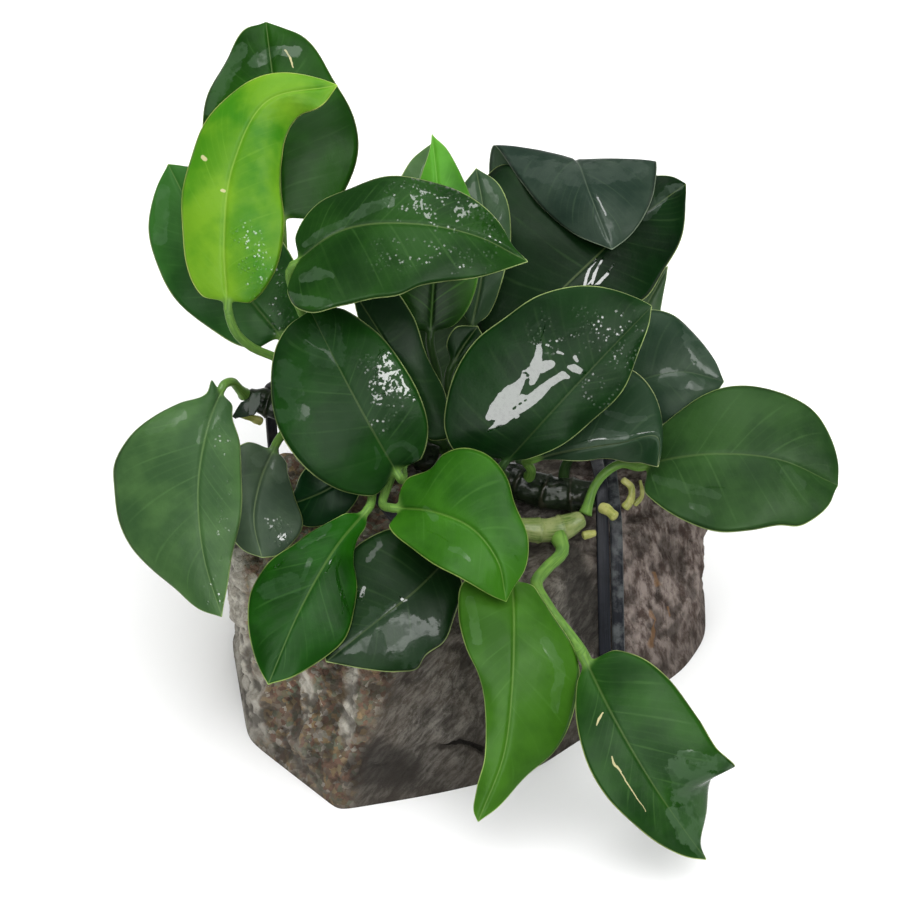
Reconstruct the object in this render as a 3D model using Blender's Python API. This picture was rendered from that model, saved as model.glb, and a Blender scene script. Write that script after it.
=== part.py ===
"""Anubias on stone: a dwarf anubias whose rhizome is tied to a rough stone with black rubber bands.

World axes: +X right, +Y back, +Z up, origin on the stone's flat underside, near its middle. Sizes
in the tables are millimetres and are turned into metres when a mesh is made.
"""
import math

import bmesh
import bpy
import numpy as np
from mathutils import Vector, geometry
from mathutils.bvhtree import BVHTree

MM = 0.001
GAP = 0.3

# Where the plant is seen from. Places on the plant are given as millimetres right and up in the
# plane that faces the viewer, and toward the viewer along the line of sight.
VIEW_ELEVATION = math.radians(42.0)
VIEW_DISTANCE = 900.0
AIM = np.array((-4.5, 0.0, 84.0))
RIGHT = np.array((1.0, 0.0, 0.0))
UP = np.array((0.0, math.sin(VIEW_ELEVATION), math.cos(VIEW_ELEVATION)))
TOWARD = np.array((0.0, -math.cos(VIEW_ELEVATION), math.sin(VIEW_ELEVATION)))
EYE = AIM + VIEW_DISTANCE * TOWARD

# The stone: the edges of its foot, counter-clockwise from the front corner, each with how far the
# face above it leans back, in degrees.
STONE_EDGES = (
    ((-33.0, -44.8), (-5.0, -38.6), 19.0),
    ((-5.0, -38.6), (21.0, -29.3), 22.0),
    ((21.0, -29.3), (42.0, -9.5), 25.0),
    ((42.0, -9.5), (56.5, 3.0), 10.0),
    ((56.5, 3.0), (64.5, 18.0), 4.0),
    ((64.5, 18.0), (65.0, 38.0), 2.0),
    ((65.0, 38.0), (50.0, 49.0), 6.0),
    ((50.0, 49.0), (-52.0, 44.0), 5.0),
    ((-52.0, 44.0), (-63.5, 18.0), 3.0),
    ((-63.5, 18.0), (-57.3, -20.0), -1.0),
    ((-57.3, -20.0), (-33.0, -44.8), 22.0),
)
STONE_MIDDLE = (0.0, 6.0)
STONE_TOP = 44.8
STONE_TOP_SLOPE = (-0.035, 0.06)
STONE_TOP_AT = (29.0, 9.0)
STONE_CORNER_SHARPNESS = 60.0
STONE_RIM = 5.0
STONE_ANGLE_STEP = math.radians(6.2)
STONE_LEVELS = (0.0, 0.1, 0.22, 0.35, 0.48, 0.61, 0.74, 0.88)
STONE_RIM_STEPS = 3
STONE_TOP_RINGS = (0.72, 0.4)
STONE_TOP_ROUGHNESS = 0.2
STONE_LUMPS_FADE = 4.0
STONE_COLOUR = (0.16, 0.12, 0.09)
# Lumps on the faces: height in mm, length of a wave in mm, and its direction.
STONE_LUMPS = (
    (0.9, 31.0, (0.8, 0.1, 0.6)),
    (0.8, 24.0, (-0.5, 0.8, 0.3)),
    (0.6, 17.0, (0.2, -0.6, 0.8)),
    (0.45, 12.0, (0.7, 0.7, -0.2)),
)
# Broken rock on the faces: the size of its blocks in mm and how high they stand, and the same for
# the creases between them.
STONE_BLOCKS = ((16.0, 1.6), (9.0, 0.7))
STONE_CREASES = ((11.0, 1.2),)
GRAIN_VALUES = 4096
GRAIN_PRIMES = np.array((73856093, 19349663, 83492791))
# Hollows across the stone's underside, where the bands pass: a line on the floor and a width.
CHANNELS = (
    ((37.6, 0.0), (36.6, 20.0), 9.4),
    ((4.5, -20.0), (-47.5, 41.0), 5.6),
)
CHANNEL_DEPTH = 2.8
CHANNEL_GUIDE_LENGTH = 300.0
CHANNEL_GUIDE_BOTTOM = -10.0

# The rhizome, from its growing end at the right to its old end at the left: a place and a radius.
RHIZOME = (
    ((37.5, -11.0, -37.0), 3.4),
    ((27.0, -11.0, -37.5), 4.4),
    ((12.5, -6.5, -39.0), 4.5),
    ((-12.5, 1.0, -45.5), 4.2),
    ((-32.5, 7.5, -45.0), 4.0),
    ((-46.0, 12.0, -44.0), 3.6),
    ((-51.0, 13.5, -43.5), 2.6),
)
SHOOT = (
    ((33.5, -17.0, -29.0), 2.2),
    ((28.0, -19.5, -27.5), 3.2),
    ((21.0, -20.0, -25.0), 3.2),
    ((16.0, -19.5, -23.0), 2.4),
)
RHIZOME_SIDES = 12
RHIZOME_RINGS = 22
SHOOT_RINGS = 9
NEAR_SHARE = 0.01
RHIZOME_GREEN = (0.045, 0.080, 0.030)
SHOOT_CREAM = (0.42, 0.50, 0.26)
SCAR_SPACING = 7.0
SCAR_DEPTH = 0.35

# Rubber bands: the two points, in world X and Y, that each band's upright plane passes through.
BANDS = {
    "rubber_band_right_inner": ((35.6, 0.0), (34.6, 20.0)),
    "rubber_band_right_outer": ((39.4, 0.0), (38.4, 20.0)),
    "rubber_band_left": ((4.5, -20.0), (-47.5, 41.0)),
}
BAND_WIDTH = 3.3
BAND_THICKNESS = 1.3
BAND_CLEARANCE = 0.6
BAND_RAYS = 720
BAND_FLATNESS = 0.1
BAND_HUB_HEIGHT = 24.0
BAND_RAY_START = 200.0
BAND_BLACK = (0.010, 0.011, 0.014)

# Leaf build: shares of the blade's length that carry a ring, and of the half width that carry a
# point. The margin is a sharp edge and the midrib stands out under the blade.
BLADE_RINGS = (0.035, 0.1, 0.2, 0.33, 0.47, 0.61, 0.74, 0.85, 0.94)
HALF_WIDTH_SHARES = (0.5,)
STALK_RINGS = 7
BLADE_THICKNESS = 0.7
MIDRIB_THICKNESS = 1.5
HALF_BULGE = 0.045
STALK_RADIUS = 1.15
STALK_FOOT_RADIUS = 1.5
STALK_FOOT_LENGTH = 0.35
STRAIGHT_START = 2.4
BLADE_JOINT = 1.6
BRANCH_ENDS = (1.0, ("shoot", 0.0), ("shoot", 1.0))

DEEP_GREEN = (0.020, 0.085, 0.014)
DARK_GREEN = (0.014, 0.050, 0.014)
GREY_GREEN = (0.050, 0.085, 0.055)
BRIGHT_GREEN = (0.090, 0.270, 0.020)
YELLOW_GREEN = (0.260, 0.430, 0.030)
MID_GREEN = (0.035, 0.140, 0.018)

# Leaves. foot is the share of the rhizome's length where the stalk starts, or "shoot" with a share
# of the young branch. stalk holds the stalk's places on the way to the blade. midrib runs from the
# blade's base to its tip. left and right are the margins as seen on the upper face with the tip
# pointing away: places right and up, and now and then a third number, mm toward the viewer beyond
# what tilt gives. tilt is how many mm each side comes toward the viewer per mm away from the midrib.
LEAVES = {
    "leaf_top_left_back": dict(
        colour=DEEP_GREEN, foot=0.755, tilt=(-0.25, -0.2),
        stalk=((-37.5, 19.0, -57.0), (-41.0, 42.0, -55.0)),
        midrib=((-42.0, 56.0, -47.0), (-43.0, 80.0, -51.0), (-46.0, 107.0, -66.0)),
        left=((-50.0, 58.0), (-58.0, 66.0), (-62.0, 78.0), (-61.0, 87.0), (-56.0, 98.0), (-51.0, 105.0)),
        right=((-36.0, 57.5), (-28.0, 62.0), (-24.5, 68.0), (-23.0, 75.0), (-24.0, 83.0),
               (-29.0, 92.5), (-37.5, 104.0))),
    "leaf_yellow_green": dict(
        colour=YELLOW_GREEN, foot=0.75, tilt=(-0.35, 0.1),
        stalk=((-34.0, 16.0, -39.0), (-43.0, 22.8, -36.0), (-50.0, 26.0, -33.5), (-53.6, 29.5, -31.0)),
        midrib=((-55.5, 35.0, -29.0), (-56.5, 52.0, -27.0), (-54.0, 72.0, -28.0), (-46.0, 87.0, -30.0),
                (-28.0, 91.2, -33.0)),
        left=((-61.0, 37.5), (-66.0, 47.0), (-66.5, 64.0), (-62.5, 80.0), (-51.0, 92.3), (-36.0, 94.0)),
        right=((-49.5, 37.0), (-44.0, 44.0), (-41.5, 54.0), (-42.0, 66.0, -2.0), (-42.0, 76.0, -4.0),
               (-37.5, 83.5, -4.0), (-31.5, 86.5))),
    "leaf_far_left": dict(
        colour=DARK_GREEN, foot=0.8, tilt=(-0.15, -0.1),
        stalk=((-39.6, 16.5, -46.0), (-40.0, 21.5, -45.0)),
        midrib=((-41.0, 27.0, -43.0), (-51.0, 39.0, -43.0), (-62.0, 55.0, -46.0), (-70.5, 71.5, -53.0)),
        left=((-50.0, 25.5), (-59.0, 29.5), (-66.0, 35.0), (-72.5, 44.0), (-75.0, 54.0), (-74.3, 63.0)),
        right=((-37.0, 34.0), (-38.5, 46.0), (-43.0, 54.0, 1.5), (-52.0, 64.0), (-63.0, 71.0))),
    "leaf_top_middle": dict(
        colour=DEEP_GREEN, foot=0.67, tilt=(-0.55, 0.45),
        stalk=((-24.0, 14.0, -39.0), (-33.0, 27.0, -32.0), (-38.5, 38.0, -25.0)),
        midrib=((-39.5, 46.0, -18.0), (-28.0, 54.5, -13.0), (-8.0, 56.5, -9.0), (8.0, 53.0, -10.0),
                (19.5, 47.0, -13.0)),
        left=((-38.5, 54.0), (-32.5, 62.5), (-25.0, 66.0), (-15.0, 68.5), (-7.5, 68.0), (1.0, 65.5),
              (7.5, 61.0), (12.5, 56.0), (16.0, 51.0)),
        right=((-41.0, 41.0), (-39.0, 36.0), (-35.0, 34.2), (-27.5, 36.0), (-20.0, 38.0), (-12.5, 38.8),
               (-7.5, 41.0), (-2.5, 42.0), (7.5, 43.2), (15.0, 45.5))),
    "leaf_centre_left": dict(
        colour=DEEP_GREEN, foot=0.5, tilt=(-0.08, -0.12),
        stalk=((-11.5, -3.5, -27.0),),
        midrib=((-12.5, -7.0, -15.0), (-20.0, 6.0, -9.0), (-28.0, 21.0, -10.0), (-35.0, 35.0, -16.0)),
        left=((-16.0, -10.5), (-25.0, -11.0), (-32.5, -7.5), (-39.0, -1.0), (-43.0, 6.0), (-45.0, 15.0),
              (-44.0, 24.0), (-40.0, 31.0)),
        right=((-7.5, -2.5), (-5.5, 5.0), (-7.5, 14.0), (-12.5, 22.5), (-20.0, 31.0), (-27.0, 35.5))),
    "leaf_centre_right": dict(
        colour=DEEP_GREEN, foot=0.27, tilt=(-0.1, -0.1),
        stalk=((13.6, -6.0, -28.5), (13.0, -5.6, -22.0)),
        midrib=((13.0, -4.0, -16.0), (24.0, 8.0, -9.0), (37.0, 22.0, -7.0), (50.5, 36.0, -11.0)),
        left=((7.5, -3.0), (1.0, 0.0), (-1.2, 5.0), (-0.8, 12.5), (1.5, 20.0), (6.5, 27.5), (13.0, 32.5),
              (22.5, 39.0), (31.0, 41.0), (40.0, 40.2), (47.5, 37.8)),
        right=((20.0, -2.5), (27.5, 1.0), (35.0, 6.5), (42.5, 14.0), (47.5, 25.0), (50.0, 33.0))),
    "leaf_bright_centre": dict(
        colour=BRIGHT_GREEN, foot=0.56, tilt=(-0.15, 0.1),
        stalk=((-13.5, -4.0, -30.0), (-15.6, -9.0, -21.0), (-16.8, -13.6, -14.5)),
        midrib=((-14.5, -14.5, -9.0), (-4.0, -15.5, -2.0), (6.0, -20.0, 2.0), (12.0, -28.0, 3.0),
                (14.0, -38.0, 1.0)),
        left=((-14.5, -10.5), (-11.0, -7.0), (-5.5, -4.5), (-2.5, -1.2), (2.5, 0.5), (9.0, -1.2),
              (14.0, -6.5), (16.2, -13.0), (19.5, -22.0), (18.8, -29.0), (16.0, -34.0)),
        right=((-14.8, -19.0), (-9.0, -25.0), (-5.0, -28.0), (2.5, -32.0), (10.0, -36.3))),
    "leaf_front_left": dict(
        colour=MID_GREEN, foot=0.61, tilt=(-0.1, -0.2),
        stalk=((-17.5, -3.0, -34.0), (-19.3, -9.5, -22.0)),
        midrib=((-20.3, -14.5, -14.0), (-29.0, -25.0, -3.0), (-38.0, -41.0, 3.0), (-45.5, -58.7, 5.0)),
        left=((-20.3, -17.5), (-23.0, -22.5), (-24.2, -28.0), (-23.2, -35.0), (-24.0, -41.0),
              (-26.5, -47.5), (-30.5, -51.5), (-38.0, -56.0)),
        right=((-27.5, -17.0), (-35.0, -20.0), (-40.0, -24.5), (-46.0, -29.0), (-49.8, -35.0),
               (-50.5, -42.5), (-49.3, -51.0))),
    "leaf_left": dict(
        colour=MID_GREEN, foot=1.0, tilt=(-0.1, -0.25),
        stalk=((-54.4, 17.0, -34.0),),
        midrib=((-56.8, 16.0, -29.0), (-60.5, 6.0, -20.0), (-63.0, -10.0, -12.0), (-61.5, -27.0, -9.0),
                (-57.0, -41.8, -9.0)),
        left=((-54.5, 12.5), (-54.5, 7.0), (-52.7, 1.0), (-52.0, -7.5), (-52.5, -17.5), (-54.8, -28.0),
              (-56.0, -36.0)),
        right=((-59.3, 19.6, 1.0), (-60.8, 14.5), (-67.5, 12.0), (-75.0, 7.5), (-80.5, 2.5),
               (-84.3, -4.0), (-84.3, -10.0), (-83.0, -17.5), (-80.0, -24.0), (-75.0, -30.0),
               (-69.0, -35.0), (-62.5, -40.0))),
    "leaf_grey_left": dict(
        colour=GREY_GREEN, foot=0.78, tilt=(-0.1, -0.1),
        stalk=((-40.0, 5.0, -38.5),),
        midrib=((-43.5, 1.5, -33.0), (-47.5, -8.0, -26.0), (-49.0, -18.0, -20.0), (-47.0, -27.0, -16.5)),
        left=((-41.3, -0.5), (-40.5, -6.0), (-39.0, -12.5), (-37.0, -19.5), (-40.0, -24.0), (-43.5, -26.5)),
        right=((-49.5, 2.0), (-55.0, -1.0), (-57.0, -10.0), (-56.0, -19.0), (-52.0, -25.0))),
    "leaf_dark_behind": dict(
        colour=DARK_GREEN, foot=0.65, tilt=(-0.1, -0.1),
        stalk=((-20.5, 1.5, -37.0),),
        midrib=((-22.0, -3.0, -29.0), (-30.0, -9.5, -25.5), (-40.5, -14.0, -30.0)),
        left=((-22.5, -10.0), (-29.0, -18.0), (-36.5, -19.0)),
        right=((-24.0, -0.5), (-31.0, -1.0), (-37.5, -6.0))),
    "leaf_lower_middle": dict(
        colour=DEEP_GREEN, foot=0.4, tilt=(0.0, -0.45),
        stalk=((-1.5, -12.0, -29.0), (1.0, -21.0, -20.0)),
        midrib=((-0.5, -27.0, -12.5), (-9.0, -35.5, -5.0), (-18.5, -43.0, -1.0), (-31.0, -53.0, 1.0)),
        left=((2.5, -30.0), (2.8, -36.0), (1.0, -42.0), (-1.5, -48.0), (-6.0, -51.5), (-8.0, -54.7),
              (-13.0, -55.5), (-20.5, -54.8)),
        right=((-5.0, -22.5), (-14.0, -19.5), (-22.0, -23.0), (-29.0, -32.0), (-32.5, -43.0))),
    "leaf_front_hanging": dict(
        colour=BRIGHT_GREEN, foot=("shoot", 1.0), tilt=(-0.35, -0.15),
        stalk=((14.3, -23.0, -18.0),),
        midrib=((15.5, -31.0, -8.0), (16.0, -44.0, 1.0), (15.5, -60.0, 5.0), (13.5, -76.0, 4.0),
                (7.0, -93.0, 0.0)),
        left=((18.5, -31.5), (23.5, -37.5), (26.5, -42.5), (30.0, -48.0), (32.5, -55.0), (32.3, -61.0),
              (30.5, -68.0), (26.0, -75.5), (20.0, -81.3), (13.0, -88.5)),
        right=((8.0, -30.5), (3.0, -33.5), (2.0, -40.0), (4.0, -49.0), (7.0, -55.5), (8.7, -65.0),
               (8.8, -77.0), (6.3, -85.0), (5.8, -90.5))),
    "leaf_lower_right": dict(
        colour=MID_GREEN, foot=("shoot", 0.42), tilt=(-0.15, 0.1),
        stalk=((24.2, -29.5, -19.5), (21.6, -33.0, -16.0), (24.3, -39.0, -10.5), (29.5, -46.0, -6.0)),
        midrib=((33.3, -51.3, -2.0), (41.0, -67.0, 5.0), (51.0, -84.0, 6.0), (64.0, -102.5, 3.0)),
        left=((38.0, -50.0), (47.5, -52.0), (54.0, -56.5), (62.0, -67.0), (66.5, -74.5), (71.5, -79.3, -1.0),
              (66.0, -82.3, -5.0), (64.0, -89.0, -6.0), (62.7, -99.0, -1.0)),
        right=((32.0, -56.0), (31.2, -62.5), (32.5, -72.5), (35.0, -80.0), (39.0, -86.5), (45.0, -92.7),
               (52.5, -98.8), (60.0, -102.0))),
    "leaf_right": dict(
        colour=MID_GREEN, foot=("shoot", 0.0), tilt=(-0.45, 0.3),
        stalk=((35.3, -11.0, -30.0), (38.5, -6.0, -29.5), (43.0, -3.4, -28.5)),
        midrib=((47.5, -4.3, -27.0), (54.0, -2.5, -23.5), (67.5, -1.0, -19.0), (82.5, -2.5, -18.0),
                (97.0, -9.0, -21.0)),
        left=((49.5, 1.0), (53.0, 6.0), (57.5, 10.0), (64.5, 14.2), (70.0, 15.8), (77.5, 16.0),
              (85.0, 13.8), (90.5, 10.0), (94.5, 4.0), (97.0, -3.5)),
        right=((48.5, -10.0), (52.5, -14.0), (60.0, -18.3), (67.5, -20.5), (75.0, -20.2), (82.5, -18.9),
               (87.5, -19.0), (92.5, -16.0))),
    "leaf_folded_right": dict(
        colour=GREY_GREEN, foot=0.2, tilt=(-0.35, -0.7),
        stalk=((19.0, -3.0, -30.5),),
        midrib=((20.5, -2.4, -26.5), (30.0, -0.2, -19.0), (42.0, 1.6, -17.0), (52.0, 3.0, -17.0),
                (52.0, -4.3, -16.5)),
        left=((21.0, 8.0), (33.0, 18.0), (45.0, 20.5), (50.3, 15.0), (53.0, 9.0), (53.8, 4.0)),
        right=((22.0, -2.6), (32.5, -2.5), (42.0, -2.7), (48.0, -3.2), (50.5, -4.0))),
    "leaf_right_back": dict(
        colour=GREY_GREEN, foot=0.1, tilt=(-0.3, 0.2),
        stalk=((31.0, -1.0, -39.0), (36.0, 4.0, -40.5)),
        midrib=((38.0, 10.0, -39.0), (47.0, 17.0, -37.0), (58.0, 19.5, -36.0), (68.5, 17.0, -38.0)),
        left=((38.0, 20.0), (43.0, 31.0), (50.0, 35.0), (55.5, 34.0), (60.5, 30.0), (65.5, 24.0)),
        right=((43.0, 6.0), (50.0, 5.0), (56.0, 8.0), (62.0, 12.0), (67.3, 15.2))),
    "leaf_top_right_folded": dict(
        colour=GREY_GREEN, foot=0.3, tilt=(-0.1, -0.1),
        stalk=((13.0, 12.0, -57.0), (21.0, 34.0, -78.0)),
        midrib=((26.0, 50.0, -88.0), (29.0, 65.0, -82.0), (31.5, 72.5, -66.0), (35.0, 64.0, -53.0),
                (40.5, 50.0, -46.0)),
        left=((36.0, 52.0), (47.0, 63.0), (51.5, 72.0), (51.3, 65.0), (48.5, 58.5), (45.0, 53.5)),
        right=((18.0, 54.0), (10.0, 66.0), (11.0, 76.0), (17.0, 68.0), (23.0, 60.5), (31.0, 54.0))),
    "leaf_large_back": dict(
        colour=DARK_GREEN, foot=0.24, tilt=(-0.2, -0.1),
        stalk=((19.5, 8.0, -50.0), (21.0, 24.0, -50.0)),
        midrib=((22.5, 35.0, -47.0), (34.0, 46.0, -50.0), (46.0, 57.0, -57.0), (59.0, 66.5, -66.0)),
        left=((15.5, 29.5), (8.0, 29.0), (5.5, 36.0), (6.0, 47.0), (6.8, 58.0), (8.2, 67.5, -4.0),
              (12.0, 71.0, -5.0), (20.0, 70.0, -6.0), (36.0, 69.5, -1.0), (49.0, 68.5), (56.5, 68.0)),
        right=((30.0, 34.0), (41.0, 34.5), (49.0, 38.0), (54.5, 46.0), (57.8, 53.0), (59.2, 60.0))),
    "leaf_sliver_right": dict(
        colour=GREY_GREEN, foot=0.1, tilt=(-0.2, -0.2),
        stalk=((33.0, 5.0, -55.0),),
        midrib=((42.0, 22.0, -62.0), (48.0, 34.0, -63.0), (54.5, 46.0, -66.0)),
        left=((41.5, 31.0), (48.0, 42.0)),
        right=((48.5, 24.0), (53.0, 36.0))),
    "leaf_young_light": dict(
        colour=BRIGHT_GREEN, foot=0.405, tilt=(-0.2, -0.15),
        stalk=((-2.5, 8.0, -41.0), (-3.0, 18.0, -39.0)),
        midrib=((-5.0, 27.5, -36.0), (-4.0, 44.0, -33.0), (-3.0, 62.0, -36.0), (-4.5, 79.0, -44.0)),
        left=((-10.0, 30.0), (-13.7, 36.0), (-15.0, 45.0), (-12.0, 58.0), (-7.0, 69.0), (-5.0, 75.0)),
        right=((2.0, 32.0), (7.0, 43.0), (7.0, 56.0), (3.5, 67.5), (0.0, 73.7))),
    "leaf_grey_back_right": dict(
        colour=GREY_GREEN, foot=0.34, tilt=(-0.15, -0.15),
        stalk=((4.5, 8.0, -50.0), (4.5, 18.0, -50.0)),
        midrib=((5.0, 29.0, -47.0), (8.0, 44.0, -45.0), (8.5, 58.0, -47.0), (6.5, 70.5, -52.0)),
        left=((1.5, 38.0), (1.0, 52.0), (2.5, 65.0)),
        right=((10.0, 34.0), (13.5, 45.0), (15.3, 54.0), (14.3, 62.0), (11.0, 67.7))),
    "leaf_grey_back_left": dict(
        colour=MID_GREEN, foot=0.46, tilt=(-0.15, -0.15),
        stalk=(),
        midrib=((-4.5, 5.0, -54.0), (-6.0, 20.0, -58.0), (-9.5, 42.0, -58.0), (-8.5, 62.0, -57.5),
                (-4.0, 77.0, -60.0)),
        left=((-10.0, 7.0), (-15.5, 15.0), (-18.0, 28.0), (-18.0, 44.0), (-16.0, 58.0), (-12.3, 68.0),
              (-8.7, 74.0)),
        right=((2.5, 6.0), (8.5, 12.0), (10.5, 21.0), (8.5, 30.0), (3.5, 40.0), (-0.5, 50.0),
               (-1.0, 58.0), (-1.0, 69.0))),
    "leaf_small_round": dict(
        colour=MID_GREEN, foot=0.32, tilt=(-0.1, -0.1),
        stalk=((3.0, 6.0, -36.0),),
        midrib=((0.0, 20.0, -32.0), (3.0, 25.5, -30.0), (7.0, 31.0, -31.0)),
        left=((-1.3, 25.0), (1.5, 30.6)),
        right=((5.0, 22.5), (8.3, 27.5))),
    "leaf_dark_inner": dict(
        colour=DARK_GREEN, foot=0.43, tilt=(-0.1, -0.1),
        stalk=((-7.0, 4.0, -37.0),),
        midrib=((-6.5, 13.0, -30.0), (-14.0, 24.0, -26.0), (-25.0, 41.0, -30.0)),
        left=((-13.0, 13.0), (-20.0, 23.0)),
        right=((-6.0, 23.0), (-9.5, 34.0), (-15.5, 41.5))),
}

ROOT_YELLOW = (0.50, 0.50, 0.14)
# Roots: the places along each, the radius at its start and at its tip.
ROOTS = {
    "root_blunt": (((37.6, -14.2, -29.0), (39.2, -15.0, -27.5), (41.6, -16.9, -26.0)), 1.5, 1.3),
    "root_short": (((33.0, -21.5, -30.0), (35.0, -20.9, -30.5), (36.5, -20.7, -31.0)), 1.1, 0.9),
    "root_curved": (((43.0, -7.2, -30.5), (45.3, -9.5, -30.0), (44.8, -13.0, -30.0), (43.5, -14.6, -30.5)),
                    0.8, 1.2),
    "root_thin": (((47.6, -7.5, -31.0), (48.0, -11.5, -31.0), (46.0, -13.8, -31.5)), 0.5, 0.7),
}
# A root's tip is rounded from one share of its length on, and its last ring is drawn in.
ROOT_ROUND_FROM = 0.92
ROOT_LAST_RING = 0.98
ROOT_LAST_RADIUS = 0.6
ROOT_RINGS = 5
ROOT_SIDES = 7
STALK_STUB = (((-47.0, 7.0, -44.0), (-50.0, 8.2, -42.0), (-53.5, 9.3, -40.0)), 1.2, 0.7)
SCRAP_OUTLINE = ((-49.5, 14.5), (-47.3, 14.3), (-47.3, 11.5), (-48.8, 8.8), (-53.8, 7.7), (-54.3, 8.6),
                 (-52.3, 12.0), (-50.3, 12.8))
SCRAP_TOWARD = -33.5
SCRAP_THICKNESS = 0.9


def place(point):
    """World place, in mm, of a (right, up, toward) reading."""
    right, up, toward = point
    seen = AIM + right * RIGHT + up * UP
    return EYE + (seen - EYE) * (1.0 - toward / VIEW_DISTANCE)


def places(points):
    return np.array([place(point) for point in points])


def smooth(points, shares):
    """Smooth curve through the points, read at shares of its length: cubic pieces that meet with
    the same slope, where the slope at a point comes from its two neighbours."""
    points = np.asarray(points, float)
    chords = np.linalg.norm(np.diff(points, axis=0), axis=1)
    knots = np.concatenate(([0.0], np.cumsum(chords))) / chords.sum()
    slopes = np.gradient(points, knots, axis=0)
    shares = np.asarray(shares, float)
    span = np.clip(np.searchsorted(knots, shares, side="right") - 1, 0, len(knots) - 2)
    width = (knots[span + 1] - knots[span])[:, None]
    x = (shares[:, None] - knots[span][:, None]) / width
    start, end = points[span], points[span + 1]
    return ((2 * x**3 - 3 * x**2 + 1) * start + (x**3 - 2 * x**2 + x) * width * slopes[span]
            + (3 * x**2 - 2 * x**3) * end + (x**3 - x**2) * width * slopes[span + 1])


def unit(vectors):
    return vectors / np.linalg.norm(vectors, axis=-1, keepdims=True)


def make_material(name, colour, roughness):
    material = bpy.data.materials.new(name)
    material.use_nodes = True
    shader = material.node_tree.nodes["Principled BSDF"]
    shader.inputs["Base Color"].default_value = (*colour, 1.0)
    shader.inputs["Roughness"].default_value = roughness
    shader.inputs["Metallic"].default_value = 0.0
    return material


def make_object(name, mesh_data, colour, roughness=0.4, smooth_angle=50.0):
    """Object from a bmesh in mm: twisted faces become triangles, all turn outwards, in metres."""
    mesh_data.normal_update()
    bmesh.ops.recalc_face_normals(mesh_data, faces=mesh_data.faces)
    bmesh.ops.triangulate(mesh_data, faces=mesh_data.faces, quad_method="SHORT_EDGE")
    bmesh.ops.scale(mesh_data, vec=(MM, MM, MM), verts=mesh_data.verts)
    mesh = bpy.data.meshes.new(name)
    mesh_data.to_mesh(mesh)
    mesh_data.free()
    mesh.shade_smooth()
    mesh.set_sharp_from_angle(angle=math.radians(smooth_angle))
    mesh.materials.append(make_material(name + "_surface", colour, roughness))
    made = bpy.data.objects.new(name, mesh)
    bpy.context.collection.objects.link(made)
    return made


def loft(rings, start_point=None, end_point=None):
    """Closed solid through rings of equal count. An end is a point, or else it is capped flat."""
    solid = bmesh.new()
    rows = [[solid.verts.new(Vector(point)) for point in ring] for ring in rings]
    count = len(rows[0])
    for row, following in zip(rows, rows[1:]):
        for i in range(count):
            j = (i + 1) % count
            solid.faces.new((row[i], row[j], following[j], following[i]))
    for row, point in ((rows[0], start_point), (rows[-1], end_point)):
        if point is None:
            solid.faces.new(row)
            continue
        tip = solid.verts.new(Vector(point))
        for i in range(count):
            solid.faces.new((row[i], row[(i + 1) % count], tip))
    return solid


def carried_frames(path, last_side):
    """Directions across a path: the side given at its end is carried back along it without twist."""
    tangents = unit(np.gradient(path, axis=0))
    sides = np.zeros_like(path)
    side = last_side
    for i in range(len(path) - 1, -1, -1):
        side = unit(side - np.dot(side, tangents[i]) * tangents[i])
        sides[i] = side
    return sides, np.cross(tangents, sides)


def tube(path, radii, sides, last_side):
    """Rings of a round stalk along a path."""
    across, over = carried_frames(path, last_side)
    angles = np.linspace(0.0, 2.0 * math.pi, sides, endpoint=False)
    return [centre + radius * (np.cos(angles)[:, None] * a + np.sin(angles)[:, None] * b)
            for centre, radius, a, b in zip(path, radii, across, over)]


def branch_point(foot):
    """Centre, direction and radius of the rhizome, or of its young branch, at a share of its length."""
    branch, share = (RHIZOME, foot) if not isinstance(foot, tuple) else (SHOOT, foot[1])
    centres = places([point for point, radius in branch])
    radii = [radius for point, radius in branch]
    chords = np.linalg.norm(np.diff(centres, axis=0), axis=1)
    knots = np.concatenate(([0.0], np.cumsum(chords))) / chords.sum()
    near = smooth(centres, np.clip([share - NEAR_SHARE, share, share + NEAR_SHARE], 0.0, 1.0))
    return near[1], unit(near[2] - near[0]), float(np.interp(share, knots, radii))


def stalk_path(leaf):
    """Stalk from the skin of the branch it grows on to the base of the blade."""
    centre, along, radius = branch_point(leaf["foot"])
    onward = places((*leaf["stalk"], leaf["midrib"][0]))
    outward = onward[0] - centre
    if leaf["foot"] not in BRANCH_ENDS:
        outward = outward - np.dot(outward, along) * along
    outward = unit(outward)
    start = centre + outward * (radius + GAP + SCAR_DEPTH)
    points = np.vstack(([start, start + STRAIGHT_START * outward], onward))
    length = np.linalg.norm(np.diff(points, axis=0), axis=1).sum()
    shares = np.linspace(STRAIGHT_START / length, 1.0 - BLADE_JOINT / length, STALK_RINGS)
    shares = np.concatenate(([0.0], shares))
    return smooth(points, shares), shares


def blade_rows(leaf, shares):
    """Left margin, midrib and right margin of a blade in mm, at shares of its length."""
    middle = np.array(leaf["midrib"], float)
    seen_middle = smooth(middle, shares)
    rows = []
    for side, slope in (("left", leaf["tilt"][0]), ("right", leaf["tilt"][1])):
        points = [(*point, 0.0)[:3] for point in leaf[side]]
        ends = [(*middle[0][:2], 0.0), (*middle[-1][:2], 0.0)]
        margin = smooth([ends[0], *points, ends[1]], shares)
        away = np.linalg.norm(margin[:, :2] - seen_middle[:, :2], axis=1)
        margin[:, 2] += seen_middle[:, 2] + slope * away
        rows.append(places(margin))
    return rows[0], places(seen_middle), rows[1]


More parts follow.
